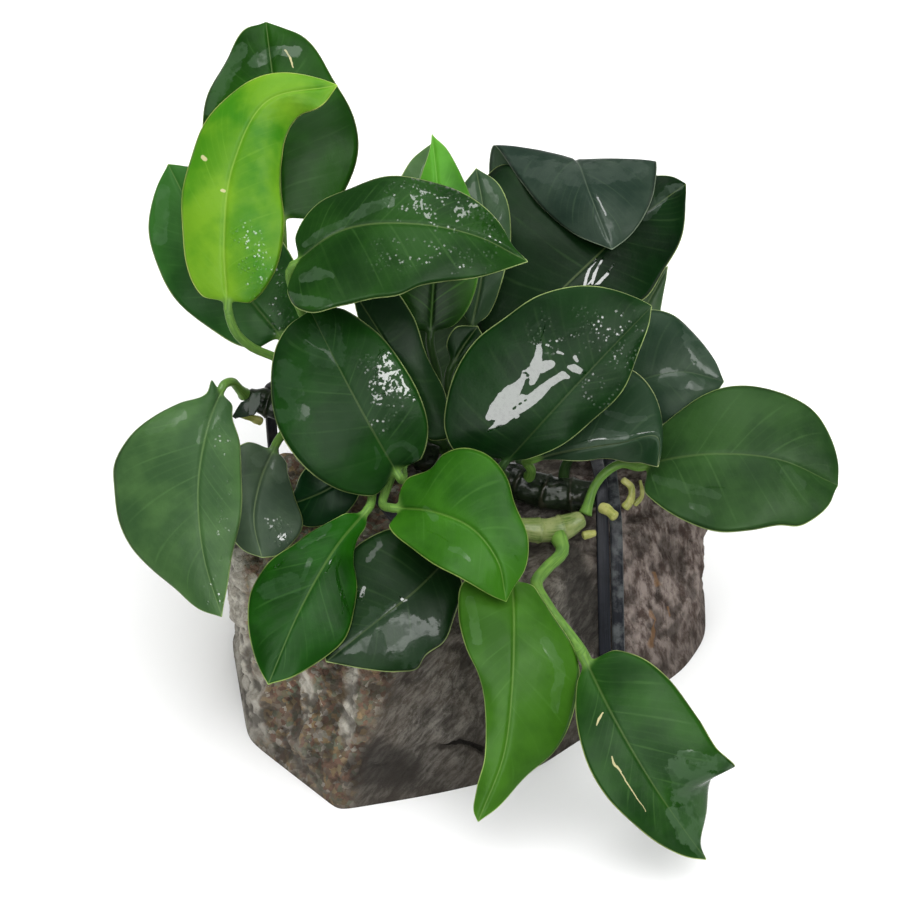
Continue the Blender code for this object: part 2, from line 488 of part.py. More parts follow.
def blade_rings(leaf):
    """Rings round the blade: left margin, upper face, right margin, lower face."""
    left, middle, right = blade_rows(leaf, BLADE_RINGS)
    along = unit(np.gradient(middle, axis=0))
    normals = unit(np.cross(right - left, along))
    rings = []
    for a, m, b, normal in zip(left, middle, right, normals):
        upper, lower = [], []
        for edge, inner in ((a, False), (b, True)):
            for share in HALF_WIDTH_SHARES:
                bulge = 4.0 * HALF_BULGE * share * (1.0 - share) * np.linalg.norm(edge - m)
                point = m + (edge - m) * share + bulge * normal
                upper.append(point)
                lower.append(point - BLADE_THICKNESS * normal)
        half = len(HALF_WIDTH_SHARES)
        rings.append([a, *upper[:half], m, *upper[half:], b, *lower[half:][::-1],
                      m - MIDRIB_THICKNESS * normal, *lower[:half][::-1]])
    return rings, right[0] - left[0]


def build_leaf(name, leaf):
    """One leaf, grown in one piece: stalk, midrib and blade."""
    rings, across = blade_rings(leaf)
    path, shares = stalk_path(leaf)
    radii = np.interp(shares, (0.0, STALK_FOOT_LENGTH), (STALK_FOOT_RADIUS, STALK_RADIUS))
    stalk = tube(path, radii, len(rings[0]), unit(-across))
    solid = loft([*stalk, *rings], end_point=place(leaf["midrib"][-1]))
    return make_object(name, solid, leaf["colour"], 0.28)


def build_branch(name, branch, rings, colour):
    """The rhizome or its young branch: a thick stem with a ring scar at every old leaf."""
    shares = np.linspace(0.0, 1.0, rings)
    centres = places([point for point, radius in branch])
    chords = np.linalg.norm(np.diff(centres, axis=0), axis=1)
    knots = np.concatenate(([0.0], np.cumsum(chords))) / chords.sum()
    path = smooth(centres, shares)
    radii = np.interp(shares, knots, [radius for point, radius in branch])
    radii += SCAR_DEPTH * np.cos(shares * chords.sum() * 2.0 * math.pi / SCAR_SPACING)
    solid = loft(tube(path, radii, RHIZOME_SIDES, RIGHT + UP))
    return make_object(name, solid, colour, 0.4)


def grain(points, size, seed):
    """Random height from -1 to 1 at places in mm: random values at the corners of cubes of a size,
    blended smoothly inside each cube."""
    values = np.random.default_rng(seed).uniform(-1.0, 1.0, GRAIN_VALUES)
    scaled = np.asarray(points) / size
    cell = np.floor(scaled)
    inside = scaled - cell
    inside = inside * inside * (3.0 - 2.0 * inside)
    cell = cell.astype(np.int64)
    total = np.zeros(cell.shape[:-1])
    for corner in np.ndindex(2, 2, 2):
        mixed = np.bitwise_xor.reduce((cell + corner) * GRAIN_PRIMES, axis=-1)
        picked = values[mixed % GRAIN_VALUES]
        total += picked * np.prod(np.where(corner, inside, 1.0 - inside), axis=-1)
    return total


def stone_breaks(points):
    """Height of the broken rock: blocks that stand out or lie back, less the creases between them."""
    total = np.zeros(points.shape[:-1])
    for seed, (size, height) in enumerate(STONE_BLOCKS):
        total += height * grain(points, size, seed)
    for seed, (size, depth) in enumerate(STONE_CREASES, len(STONE_BLOCKS)):
        total -= depth * np.abs(grain(points, size, seed))
    return total


def stone_lumps(points):
    """Height of the stone's lumps at places in mm: waves in several directions added up."""
    total = np.zeros(len(points))
    for height, length, direction in STONE_LUMPS:
        wave = np.array(direction) / np.linalg.norm(direction) * 2.0 * math.pi / length
        total += height * np.sin(points @ wave + length) * np.cos(points @ np.roll(wave, 1))
    return total


def stone_reach(angles, heights):
    """How far each face lets the stone reach from its upright middle line, with rounded corners."""
    directions = np.stack((np.cos(angles), np.sin(angles)), axis=-1)
    closeness = np.zeros(len(angles))
    for start, end, lean in STONE_EDGES:
        edge = np.subtract(end, start)
        outward = np.array((edge[1], -edge[0])) / np.hypot(*edge)
        distance = np.dot(np.subtract(start, STONE_MIDDLE), outward) - heights * math.tan(math.radians(lean))
        facing = np.maximum(directions @ outward, 0.0)
        closeness += (facing / distance) ** STONE_CORNER_SHARPNESS
    return closeness ** (-1.0 / STONE_CORNER_SHARPNESS)


def stone_angles():
    """Directions of the stone's columns: one at every corner of its foot, and even steps between."""
    corners = np.array([start for start, end, lean in STONE_EDGES]) - STONE_MIDDLE
    turns = np.unwrap(np.arctan2(corners[:, 1], corners[:, 0]))
    turns = np.append(turns, turns[0] + 2.0 * math.pi)
    steps = [np.linspace(a, b, max(1, round((b - a) / STONE_ANGLE_STEP)), endpoint=False)
             for a, b in zip(turns, turns[1:])]
    return np.concatenate(steps)


def stone_top(flat):
    return STONE_TOP + (np.asarray(flat) - STONE_TOP_AT) @ np.array(STONE_TOP_SLOPE)


def stone_ring(angles, share, inset, drop, shrink=1.0):
    """One ring of the stone's skin, at a share of its height, drawn in and down near the rim."""
    directions = np.stack((np.cos(angles), np.sin(angles)), axis=-1)
    heights = np.full(len(angles), share * STONE_TOP)
    reach = (stone_reach(angles, heights) - inset) * shrink
    flat = np.array(STONE_MIDDLE) + directions * reach[:, None]
    top = stone_top(flat)
    ring = np.column_stack((flat, share * top - drop))
    lump = stone_lumps(ring) + stone_breaks(ring) * (1.0 - inset / STONE_RIM)
    lump = lump * min(1.0, STONE_LUMPS_FADE * share)
    outward = unit(np.column_stack((directions, np.full(len(angles), inset / STONE_RIM))))
    if shrink < 1.0:
        outward = np.tile((0.0, 0.0, STONE_TOP_ROUGHNESS), (len(angles), 1))
    return ring + outward * lump[:, None]


def channel_guide(start, end, width):
    """Long box under the stone where a band passes, as the stone's underside is hollow there."""
    start, end = (np.array((*point, 0.0)) for point in (start, end))
    along = unit(end - start)
    across = np.array((-along[1], along[0], 0.0))
    middle = (start + end) / 2.0
    cutter = bmesh.new()
    bmesh.ops.create_cube(cutter, size=1.0)
    for vertex in cutter.verts:
        x, y, z = vertex.co
        flat = middle + along * x * CHANNEL_GUIDE_LENGTH + across * y * width
        vertex.co = Vector((flat[0], flat[1], CHANNEL_DEPTH if z > 0 else CHANNEL_GUIDE_BOTTOM))
    made = make_object("channel_guide", cutter, STONE_COLOUR)
    made.hide_render = True
    made.display_type = "WIRE"
    return made


def build_stone():
    angles = stone_angles()
    rings = [stone_ring(angles, share, 0.0, 0.0) for share in STONE_LEVELS]
    for step in range(1, STONE_RIM_STEPS + 1):
        turn = 0.5 * math.pi * step / STONE_RIM_STEPS
        rings.append(stone_ring(angles, 1.0, STONE_RIM * (1.0 - math.cos(turn)),
                                STONE_RIM * (1.0 - math.sin(turn))))
    for shrink in STONE_TOP_RINGS:
        rings.append(stone_ring(angles, 1.0, STONE_RIM, 0.0, shrink))
    peak = (*STONE_MIDDLE, float(stone_top(STONE_MIDDLE)))
    solid = loft(rings, end_point=peak)
    stone = make_object("stone", solid, STONE_COLOUR, 0.85, 30.0)
    for channel in CHANNELS:
        cut = stone.modifiers.new("channel", "BOOLEAN")
        cut.operation = "DIFFERENCE"
        cut.object = channel_guide(*channel)
    return stone


def surface_tree(made):
    """Ray-casting tree of an object's finished surface, in mm."""
    evaluated = made.evaluated_get(bpy.context.evaluated_depsgraph_get())
    mesh = evaluated.to_mesh()
    mesh.calc_loop_triangles()
    points = [vertex.co / MM for vertex in mesh.vertices]
    tree = BVHTree.FromPolygons(points, [tuple(face.vertices) for face in mesh.loop_triangles])
    evaluated.to_mesh_clear()
    return tree


def crossed(first, second):
    return first[:, 0] * second[:, 1] - first[:, 1] * second[:, 0]


def tight_outline(points):
    """Convex outline round flat points, counter-clockwise, less those that hardly turn it."""
    hull = np.array([points[i] for i in geometry.convex_hull_2d([Vector(point) for point in points])])
    if crossed(hull, np.roll(hull, -1, axis=0)).sum() < 0:
        hull = hull[::-1]
    while True:
        before, after = np.roll(hull, 1, axis=0), np.roll(hull, -1, axis=0)
        chords = np.linalg.norm(after - before, axis=1)
        stands_out = np.abs(crossed(after - before, hull - before)) / chords
        if stands_out.min() > BAND_FLATNESS:
            return hull
        hull = np.delete(hull, stands_out.argmin(), axis=0)


def build_band(name, line, trees):
    """A stretched band: the tight outline of stone and rhizome in its plane, with the band's width."""
    start, end = (np.array((*point, 0.0)) for point in line)
    along = unit(end - start)
    across = np.array((-along[1], along[0], 0.0))
    hub = start + along * np.dot(np.array((*STONE_MIDDLE, 0.0)) - start, along)
    hub[2] = BAND_HUB_HEIGHT
    touched = []
    for angle in np.linspace(0.0, 2.0 * math.pi, BAND_RAYS, endpoint=False):
        outward = along * math.cos(angle) + np.array((0.0, 0.0, math.sin(angle)))
        for offset in (-0.5, 0.0, 0.5):
            origin = hub + across * offset * BAND_WIDTH + outward * BAND_RAY_START
            for tree in trees:
                hit = tree.ray_cast(Vector(origin), Vector(-outward))[0]
                if hit is not None:
                    flat = np.array(hit) - hub
                    touched.append((float(flat @ along), float(flat[2])))
    hull = tight_outline(touched)
    steps = np.roll(hull, -1, axis=0) - hull
    outwards = unit(np.column_stack((steps[:, 1], -steps[:, 0])))
    corners = unit(outwards + np.roll(outwards, 1, axis=0))
    miter = 1.0 / np.sum(corners * outwards, axis=1)[:, None]
    rings = []
    for point, corner, scale in zip(hull, corners, miter):
        inner = point + corner * scale * BAND_CLEARANCE
        outer = inner + corner * scale * BAND_THICKNESS
        rings.append([hub + across * side * BAND_WIDTH / 2.0 + along * flat[0] + np.array((0, 0, flat[1]))
                      for side, flat in ((-1, inner), (1, inner), (1, outer), (-1, outer))])
    solid = bmesh.new()
    rows = [[solid.verts.new(Vector(point)) for point in ring] for ring in rings]
    for row, following in zip(rows, rows[1:] + rows[:1]):
        for i in range(4):
            solid.faces.new((row[i], row[(i + 1) % 4], following[(i + 1) % 4], following[i]))
    return make_object(name, solid, BAND_BLACK, 0.55, 35.0)


def build_root(name, path_points, start_radius, tip_radius, colour):
    """A blunt root: a short tapered tube with a rounded tip."""
    shares = np.append(np.linspace(0.0, ROOT_ROUND_FROM, ROOT_RINGS), ROOT_LAST_RING)
    path = smooth(places(path_points), shares)
    radii = np.interp(shares, (0.0, ROOT_ROUND_FROM, ROOT_LAST_RING),
                      (start_radius, tip_radius, ROOT_LAST_RADIUS * tip_radius))
    solid = loft(tube(path, radii, ROOT_SIDES, UP), end_point=place(path_points[-1]))
    return make_object(name, solid, colour, 0.5)


def build_scrap():
    """The torn rest of an old leaf: a thin plate with the torn outline."""
    count = len(SCRAP_OUTLINE)
    plate = bmesh.new()
    faces = []
    for depth in (0.0, SCRAP_THICKNESS):
        faces.append([plate.verts.new(Vector(place((right, up, SCRAP_TOWARD + depth))))
                      for right, up in SCRAP_OUTLINE])
    plate.faces.new(faces[0])
    plate.faces.new(faces[1][::-1])
    for i in range(count):
        j = (i + 1) % count
        plate.faces.new((faces[0][i], faces[0][j], faces[1][j], faces[1][i]))
    return make_object("old_leaf_scrap", plate, DARK_GREEN, 0.5)


def main():
    for old in list(bpy.data.objects):
        bpy.data.objects.remove(old, do_unlink=True)
    stone = build_stone()
    rhizome = build_branch("rhizome", RHIZOME, RHIZOME_RINGS, RHIZOME_GREEN)
    build_branch("rhizome_shoot", SHOOT, SHOOT_RINGS, SHOOT_CREAM)
    for name, leaf in LEAVES.items():
        build_leaf(name, leaf)
    for name, (path_points, start_radius, tip_radius) in ROOTS.items():
        build_root(name, path_points, start_radius, tip_radius, ROOT_YELLOW)
    build_root("old_stalk_stub", *STALK_STUB, YELLOW_GREEN)
    build_scrap()
    trees = (surface_tree(stone), surface_tree(rhizome))
    for name, line in BANDS.items():
        build_band(name, line, trees)


if __name__ == "__main__":
    main()
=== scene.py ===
"""Anubias on stone: the plant's leaves, creeping stem and roots, the rubber bands and the stone.

Laid out as a Blender add-on that is run as a script. World axes: +X right, +Y back, +Z up. Sizes in
the tables are millimetres and are turned into metres when a mesh is made.
"""
import math

import bpy
import numpy as np
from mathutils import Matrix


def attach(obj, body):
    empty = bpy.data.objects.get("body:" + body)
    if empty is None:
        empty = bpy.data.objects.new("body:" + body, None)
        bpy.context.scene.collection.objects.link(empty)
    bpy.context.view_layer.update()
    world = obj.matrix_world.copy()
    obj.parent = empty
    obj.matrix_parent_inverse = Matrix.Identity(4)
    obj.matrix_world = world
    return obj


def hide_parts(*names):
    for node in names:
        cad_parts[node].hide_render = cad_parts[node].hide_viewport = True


bl_info = {
    "name": "Anubias on Stone",
    "version": (1, 0, 0),
    "blender": (4, 5, 0),
    "location": "View3D > Sidebar > Anubias",
    "description": "Builds a dwarf anubias tied to a stone with rubber bands",
    "category": "Add Mesh",
}

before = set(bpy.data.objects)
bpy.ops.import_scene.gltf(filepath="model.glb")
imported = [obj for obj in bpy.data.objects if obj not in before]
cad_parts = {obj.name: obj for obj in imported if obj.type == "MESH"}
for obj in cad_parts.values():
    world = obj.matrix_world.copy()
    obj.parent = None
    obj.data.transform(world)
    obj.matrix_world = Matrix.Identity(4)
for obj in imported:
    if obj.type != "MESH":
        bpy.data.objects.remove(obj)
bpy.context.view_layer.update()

MM = 0.001

# Where the plant is seen from. Places on the plant are given as millimetres right and up in the
# plane that faces the viewer, and toward the viewer along the line of sight.
VIEW_ELEVATION = math.radians(42.0)
VIEW_DISTANCE = 900.0
AIM = np.array((-4.5, 0.0, 84.0))
RIGHT = np.array((1.0, 0.0, 0.0))
UP = np.array((0.0, math.sin(VIEW_ELEVATION), math.cos(VIEW_ELEVATION)))
TOWARD = np.array((0.0, -math.cos(VIEW_ELEVATION), math.sin(VIEW_ELEVATION)))
EYE = AIM + VIEW_DISTANCE * TOWARD
WORLD_UP = np.array((0.0, 0.0, 1.0))
WEAK_CROSS = 1e-3
GAP = 0.3
CAMERA_SENSOR = 36.0
CAMERA_LENS = 144.0
CAMERA_CLIP = 0.05

# The stone: the corners of its foot, counter-clockwise from the front one, each with how far the face
# from there to the next corner leans back, in degrees.
STONE_CORNERS = (
    (-33.0, -44.8, 19.0), (-5.0, -38.6, 22.0), (21.0, -29.3, 25.0), (42.0, -9.5, 10.0), (56.5, 3.0, 4.0),
    (64.5, 18.0, 2.0), (65.0, 38.0, 6.0), (50.0, 49.0, 5.0), (-52.0, 44.0, 3.0), (-63.5, 18.0, -1.0),
    (-57.3, -20.0, 22.0),
)
STONE_MIDDLE = (0.0, 6.0)
STONE_TOP = 44.8
STONE_TOP_SLOPE = (-0.035, 0.06)
STONE_TOP_AT = (29.0, 9.0)
STONE_CORNER_SHARPNESS = 60.0
STONE_RIM = 5.0
STONE_RIM_LEVEL = 0.88
STONE_TOP_ROUGHNESS = 0.2
STONE_LUMPS_FADE = 4.0
# Lumps on the faces: height in mm, length of a wave in mm, and its direction.
STONE_LUMPS = (
    (0.9, 31.0, (0.8, 0.1, 0.6)),
    (0.8, 24.0, (-0.5, 0.8, 0.3)),
    (0.6, 17.0, (0.2, -0.6, 0.8)),
    (0.45, 12.0, (0.7, 0.7, -0.2)),
)
# Broken rock on the faces: the size of its blocks in mm and how high they stand, and the same for
# the creases between them.
STONE_BLOCKS = ((16.0, 1.6), (9.0, 0.7))
STONE_CREASES = ((11.0, 1.2),)
GRAIN_VALUES = 4096
GRAIN_PRIMES = np.array((73856093, 19349663, 83492791))
# Hollows across the stone's underside, where the bands pass: a line on the floor and a width.
CHANNELS = (
    ((37.6, 0.0), (36.6, 20.0), 9.4),
    ((4.5, -20.0), (-47.5, 41.0), 5.6),
)
CHANNEL_DEPTH = 2.8

# The rhizome, from its growing end at the right to its old end at the left: a place and a radius.
RHIZOME = (
    ((37.5, -11.0, -37.0), 3.4),
    ((27.0, -11.0, -37.5), 4.4),
    ((12.5, -6.5, -39.0), 4.5),
    ((-12.5, 1.0, -45.5), 4.2),
    ((-32.5, 7.5, -45.0), 4.0),
    ((-46.0, 12.0, -44.0), 3.6),
    ((-51.0, 13.5, -43.5), 2.6),
)
SHOOT = (
    ((33.5, -17.0, -29.0), 2.2),
    ((28.0, -19.5, -27.5), 3.2),
    ((21.0, -20.0, -25.0), 3.2),
    ((16.0, -19.5, -23.0), 2.4),
)
NEAR_SHARE = 0.01
SCAR_SPACING = 7.0
SCAR_DEPTH = 0.35

# Rubber bands: the two points, in world X and Y, that each band's upright plane passes through, and
# the colour of its dust.
BANDS = {
    "rubber_band_right_inner": ((35.6, 0.0), (34.6, 20.0), (0.002, 0.003, 0.004)),
    "rubber_band_right_outer": ((39.4, 0.0), (38.4, 20.0), (0.170, 0.185, 0.185)),
    "rubber_band_left": ((4.5, -20.0), (-47.5, 41.0), (0.050, 0.048, 0.046)),
}
BAND_WIDTH = 3.3
BAND_THICKNESS = 1.3
BAND_DIRECTIONS = 720
BAND_RINGS = 420
BAND_EASE = 4
BAND_SIDES = 24

# Leaf build, in mm: how far each half bulges, and the straight start of a stalk.
HALF_BULGE = 0.045
STRAIGHT_START = 2.4
BRANCH_ENDS = (1.0, ("shoot", 0.0), ("shoot", 1.0))


# Leaves. foot is the share of the rhizome's length where the stalk starts, or "shoot" with a share
# of the young branch. stalk holds the stalk's places on the way to the blade. midrib runs from the
# blade's base to its tip. left and right are the margins as seen on the upper face with the tip
# pointing away: places right and up, and now and then a third number, mm toward the viewer beyond
# what tilt gives. tilt is how many mm each side comes toward the viewer per mm away from the midrib.
LEAVES = {
    "leaf_top_left_back": dict(
        foot=0.755, tilt=(-0.25, -0.2), stalk=((-37.5, 19, -57), (-41, 42, -55)),
        midrib=((-42, 56, -47), (-43, 80, -51), (-46, 107, -66)),
        left=((-50, 58), (-58, 66), (-62, 78), (-61, 87), (-56, 98), (-51, 105)),
        right=((-36, 57.5), (-28, 62), (-24.5, 68), (-23, 75), (-24, 83), (-29, 92.5), (-37.5, 104))),
    "leaf_yellow_green": dict(
        foot=0.75, tilt=(-0.35, 0.1),
        stalk=((-34, 16, -39), (-43, 22.8, -36), (-50, 26, -33.5), (-53.6, 29.5, -31)),
        midrib=((-55.5, 35, -29), (-56.5, 52, -27), (-54, 72, -28), (-46, 87, -30), (-28, 91.2, -33)),
        left=((-61, 37.5), (-66, 47), (-66.5, 64), (-62.5, 80), (-51, 92.3), (-36, 94)),
        right=((-49.5, 37), (-44, 44), (-41.5, 54), (-42, 66, -2), (-42, 76, -4), (-37.5, 83.5, -4),
            (-31.5, 86.5))),
    "leaf_far_left": dict(
        foot=0.8, tilt=(-0.15, -0.1), stalk=((-39.6, 16.5, -46), (-40, 21.5, -45)),
        midrib=((-41, 27, -43), (-51, 39, -43), (-62, 55, -46), (-70.5, 71.5, -53)),
        left=((-50, 25.5), (-59, 29.5), (-66, 35), (-72.5, 44), (-75, 54), (-74.3, 63)),
        right=((-37, 34), (-38.5, 46), (-43, 54, 1.5), (-52, 64), (-63, 71))),
    "leaf_top_middle": dict(
        foot=0.67, tilt=(-0.55, 0.45), stalk=((-24, 14, -39), (-33, 27, -32), (-38.5, 38, -25)),
        midrib=((-39.5, 46, -18), (-28, 54.5, -13), (-8, 56.5, -9), (8, 53, -10), (19.5, 47, -13)),
        left=((-38.5, 54), (-32.5, 62.5), (-25, 66), (-15, 68.5), (-7.5, 68), (1, 65.5), (7.5, 61),
            (12.5, 56), (16, 51)),
        right=((-41, 41), (-39, 36), (-35, 34.2), (-27.5, 36), (-20, 38), (-12.5, 38.8), (-7.5, 41),
            (-2.5, 42), (7.5, 43.2), (15, 45.5))),
    "leaf_centre_left": dict(
        foot=0.5, tilt=(-0.08, -0.12), stalk=((-11.5, -3.5, -27),),
        midrib=((-12.5, -7, -15), (-20, 6, -9), (-28, 21, -10), (-35, 35, -16)),
        left=((-16, -10.5), (-25, -11), (-32.5, -7.5), (-39, -1), (-43, 6), (-45, 15), (-44, 24), (-40, 31)),
        right=((-7.5, -2.5), (-5.5, 5), (-7.5, 14), (-12.5, 22.5), (-20, 31), (-27, 35.5))),
    "leaf_centre_right": dict(
        foot=0.27, tilt=(-0.1, -0.1), stalk=((13.6, -6, -28.5), (13, -5.6, -22)),
        midrib=((13, -4, -16), (24, 8, -9), (37, 22, -7), (50.5, 36, -11)),
        left=((7.5, -3), (1, 0), (-1.2, 5), (-0.8, 12.5), (1.5, 20), (6.5, 27.5), (13, 32.5), (22.5, 39),
            (31, 41), (40, 40.2), (47.5, 37.8)),
        right=((20, -2.5), (27.5, 1), (35, 6.5), (42.5, 14), (47.5, 25), (50, 33))),
    "leaf_bright_centre": dict(
        foot=0.56, tilt=(-0.15, 0.1), stalk=((-13.5, -4, -30), (-15.6, -9, -21), (-16.8, -13.6, -14.5)),
        midrib=((-14.5, -14.5, -9), (-4, -15.5, -2), (6, -20, 2), (12, -28, 3), (14, -38, 1)),
        left=((-14.5, -10.5), (-11, -7), (-5.5, -4.5), (-2.5, -1.2), (2.5, 0.5), (9, -1.2), (14, -6.5),
            (16.2, -13), (19.5, -22), (18.8, -29), (16, -34)),
        right=((-14.8, -19), (-9, -25), (-5, -28), (2.5, -32), (10, -36.3))),
    "leaf_front_left": dict(
        foot=0.61, tilt=(-0.1, -0.2), stalk=((-17.5, -3, -34), (-19.3, -9.5, -22)),
        midrib=((-20.3, -14.5, -14), (-29, -25, -3), (-38, -41, 3), (-45.5, -58.7, 5)),
        left=((-20.3, -17.5), (-23, -22.5), (-24.2, -28), (-23.2, -35), (-24, -41), (-26.5, -47.5),
            (-30.5, -51.5), (-38, -56)),
        right=((-27.5, -17), (-35, -20), (-40, -24.5), (-46, -29), (-49.8, -35), (-50.5, -42.5),
            (-49.3, -51))),
    "leaf_left": dict(
        foot=1, tilt=(-0.1, -0.25), stalk=((-54.4, 17, -34),),
        midrib=((-56.8, 16, -29), (-60.5, 6, -20), (-63, -10, -12), (-61.5, -27, -9), (-57, -41.8, -9)),
        left=((-54.5, 12.5), (-54.5, 7), (-52.7, 1), (-52, -7.5), (-52.5, -17.5), (-54.8, -28), (-56, -36)),
        right=((-59.3, 19.6, 1), (-60.8, 14.5), (-67.5, 12), (-75, 7.5), (-80.5, 2.5), (-84.3, -4),
            (-84.3, -10), (-83, -17.5), (-80, -24), (-75, -30), (-69, -35), (-62.5, -40))),
    "leaf_grey_left": dict(
        foot=0.78, tilt=(-0.1, -0.1), stalk=((-40, 5, -38.5),),
        midrib=((-43.5, 1.5, -33), (-47.5, -8, -26), (-49, -18, -20), (-47, -27, -16.5)),
        left=((-41.3, -0.5), (-40.5, -6), (-39, -12.5), (-37, -19.5), (-40, -24), (-43.5, -26.5)),
        right=((-49.5, 2), (-55, -1), (-57, -10), (-56, -19), (-52, -25))),
    "leaf_dark_behind": dict(
        foot=0.65, tilt=(-0.1, -0.1), stalk=((-20.5, 1.5, -37),),
        midrib=((-22, -3, -29), (-30, -9.5, -25.5), (-40.5, -14, -30)),
        left=((-22.5, -10), (-29, -18), (-36.5, -19)), right=((-24, -0.5), (-31, -1), (-37.5, -6))),
    "leaf_lower_middle": dict(
        foot=0.4, tilt=(0, -0.45), stalk=((-1.5, -12, -29), (1, -21, -20)),
        midrib=((-0.5, -27, -12.5), (-9, -35.5, -5), (-18.5, -43, -1), (-31, -53, 1)),
        left=((2.5, -30), (2.8, -36), (1, -42), (-1.5, -48), (-6, -51.5), (-8, -54.7), (-13, -55.5),
            (-20.5, -54.8)), right=((-5, -22.5), (-14, -19.5), (-22, -23), (-29, -32), (-32.5, -43))),
    "leaf_front_hanging": dict(
        foot=('shoot', 1), tilt=(-0.35, -0.15), stalk=((14.3, -23, -18),),
        midrib=((15.5, -31, -8), (16, -44, 1), (15.5, -60, 5), (13.5, -76, 4), (7, -93, 0)),
        left=((18.5, -31.5), (23.5, -37.5), (26.5, -42.5), (30, -48), (32.5, -55), (32.3, -61), (30.5, -68),
            (26, -75.5), (20, -81.3), (13, -88.5)),
        right=((8, -30.5), (3, -33.5), (2, -40), (4, -49), (7, -55.5), (8.7, -65), (8.8, -77), (6.3, -85),
            (5.8, -90.5))),
    "leaf_lower_right": dict(
        foot=('shoot', 0.42), tilt=(-0.15, 0.1),
        stalk=((24.2, -29.5, -19.5), (21.6, -33, -16), (24.3, -39, -10.5), (29.5, -46, -6)),
        midrib=((33.3, -51.3, -2), (41, -67, 5), (51, -84, 6), (64, -102.5, 3)),
        left=((38, -50), (47.5, -52), (54, -56.5), (62, -67), (66.5, -74.5), (71.5, -79.3, -1),
            (66, -82.3, -5), (64, -89, -6), (62.7, -99, -1)),
        right=((32, -56), (31.2, -62.5), (32.5, -72.5), (35, -80), (39, -86.5), (45, -92.7), (52.5, -98.8),
            (60, -102))),
    "leaf_right": dict(
        foot=('shoot', 0), tilt=(-0.45, 0.3), stalk=((35.3, -11, -30), (38.5, -6, -29.5), (43, -3.4, -28.5)),
        midrib=((47.5, -4.3, -27), (54, -2.5, -23.5), (67.5, -1, -19), (82.5, -2.5, -18), (97, -9, -21)),
        left=((49.5, 1), (53, 6), (57.5, 10), (64.5, 14.2), (70, 15.8), (77.5, 16), (85, 13.8), (90.5, 10),
            (94.5, 4), (97, -3.5)),
        right=((48.5, -10), (52.5, -14), (60, -18.3), (67.5, -20.5), (75, -20.2), (82.5, -18.9),
            (87.5, -19), (92.5, -16))),
    "leaf_folded_right": dict(
        foot=0.2, tilt=(-0.35, -0.7), stalk=((19, -3, -30.5),),
        midrib=((20.5, -2.4, -26.5), (30, -0.2, -19), (42, 1.6, -17), (52, 3, -17), (52, -4.3, -16.5)),
        left=((21, 8), (33, 18), (45, 20.5), (50.3, 15), (53, 9), (53.8, 4)),
        right=((22, -2.6), (32.5, -2.5), (42, -2.7), (48, -3.2), (50.5, -4))),
    "leaf_right_back": dict(
        foot=0.1, tilt=(-0.3, 0.2), stalk=((31, -1, -39), (36, 4, -40.5)),
        midrib=((38, 10, -39), (47, 17, -37), (58, 19.5, -36), (68.5, 17, -38)),
        left=((38, 20), (43, 31), (50, 35), (55.5, 34), (60.5, 30), (65.5, 24)),
        right=((43, 6), (50, 5), (56, 8), (62, 12), (67.3, 15.2))),
    "leaf_top_right_folded": dict(
        foot=0.3, tilt=(-0.1, -0.1), stalk=((13, 12, -57), (21, 34, -78)),
        midrib=((26, 50, -88), (29, 65, -82), (31.5, 72.5, -66), (35, 64, -53), (40.5, 50, -46)),
        left=((36, 52), (47, 63), (51.5, 72), (51.3, 65), (48.5, 58.5), (45, 53.5)),
        right=((18, 54), (10, 66), (11, 76), (17, 68), (23, 60.5), (31, 54))),
    "leaf_large_back": dict(
        foot=0.24, tilt=(-0.2, -0.1), stalk=((19.5, 8, -50), (21, 24, -50)),
        midrib=((22.5, 35, -47), (34, 46, -50), (46, 57, -57), (59, 66.5, -66)),
        left=((15.5, 29.5), (8, 29), (5.5, 36), (6, 47), (6.8, 58), (8.2, 67.5, -4), (12, 71, -5),
            (20, 70, -6), (36, 69.5, -1), (49, 68.5), (56.5, 68)),
        right=((30, 34), (41, 34.5), (49, 38), (54.5, 46), (57.8, 53), (59.2, 60))),
    "leaf_sliver_right": dict(
        foot=0.1, tilt=(-0.2, -0.2), stalk=((33, 5, -55),),
        midrib=((42, 22, -62), (48, 34, -63), (54.5, 46, -66)), left=((41.5, 31), (48, 42)),
        right=((48.5, 24), (53, 36))),
    "leaf_young_light": dict(
        foot=0.405, tilt=(-0.2, -0.15), stalk=((-2.5, 8, -41), (-3, 18, -39)),
        midrib=((-5, 27.5, -36), (-4, 44, -33), (-3, 62, -36), (-4.5, 79, -44)),
        left=((-10, 30), (-13.7, 36), (-15, 45), (-12, 58), (-7, 69), (-5, 75)),
        right=((2, 32), (7, 43), (7, 56), (3.5, 67.5), (0, 73.7))),
    "leaf_grey_back_right": dict(
        foot=0.34, tilt=(-0.15, -0.15), stalk=((4.5, 8, -50), (4.5, 18, -50)),
        midrib=((5, 29, -47), (8, 44, -45), (8.5, 58, -47), (6.5, 70.5, -52)),
        left=((1.5, 38), (1, 52), (2.5, 65)),
        right=((10, 34), (13.5, 45), (15.3, 54), (14.3, 62), (11, 67.7))),
    "leaf_grey_back_left": dict(
        foot=0.46, tilt=(-0.15, -0.15), stalk=(),
        midrib=((-4.5, 5, -54), (-6, 20, -58), (-9.5, 42, -58), (-8.5, 62, -57.5), (-4, 77, -60)),
        left=((-10, 7), (-15.5, 15), (-18, 28), (-18, 44), (-16, 58), (-12.3, 68), (-8.7, 74)),
        right=((2.5, 6), (8.5, 12), (10.5, 21), (8.5, 30), (3.5, 40), (-0.5, 50), (-1, 58), (-1, 69))),
    "leaf_small_round": dict(
        foot=0.32, tilt=(-0.1, -0.1), stalk=((3, 6, -36),),
        midrib=((0, 20, -32), (3, 25.5, -30), (7, 31, -31)), left=((-1.3, 25), (1.5, 30.6)),
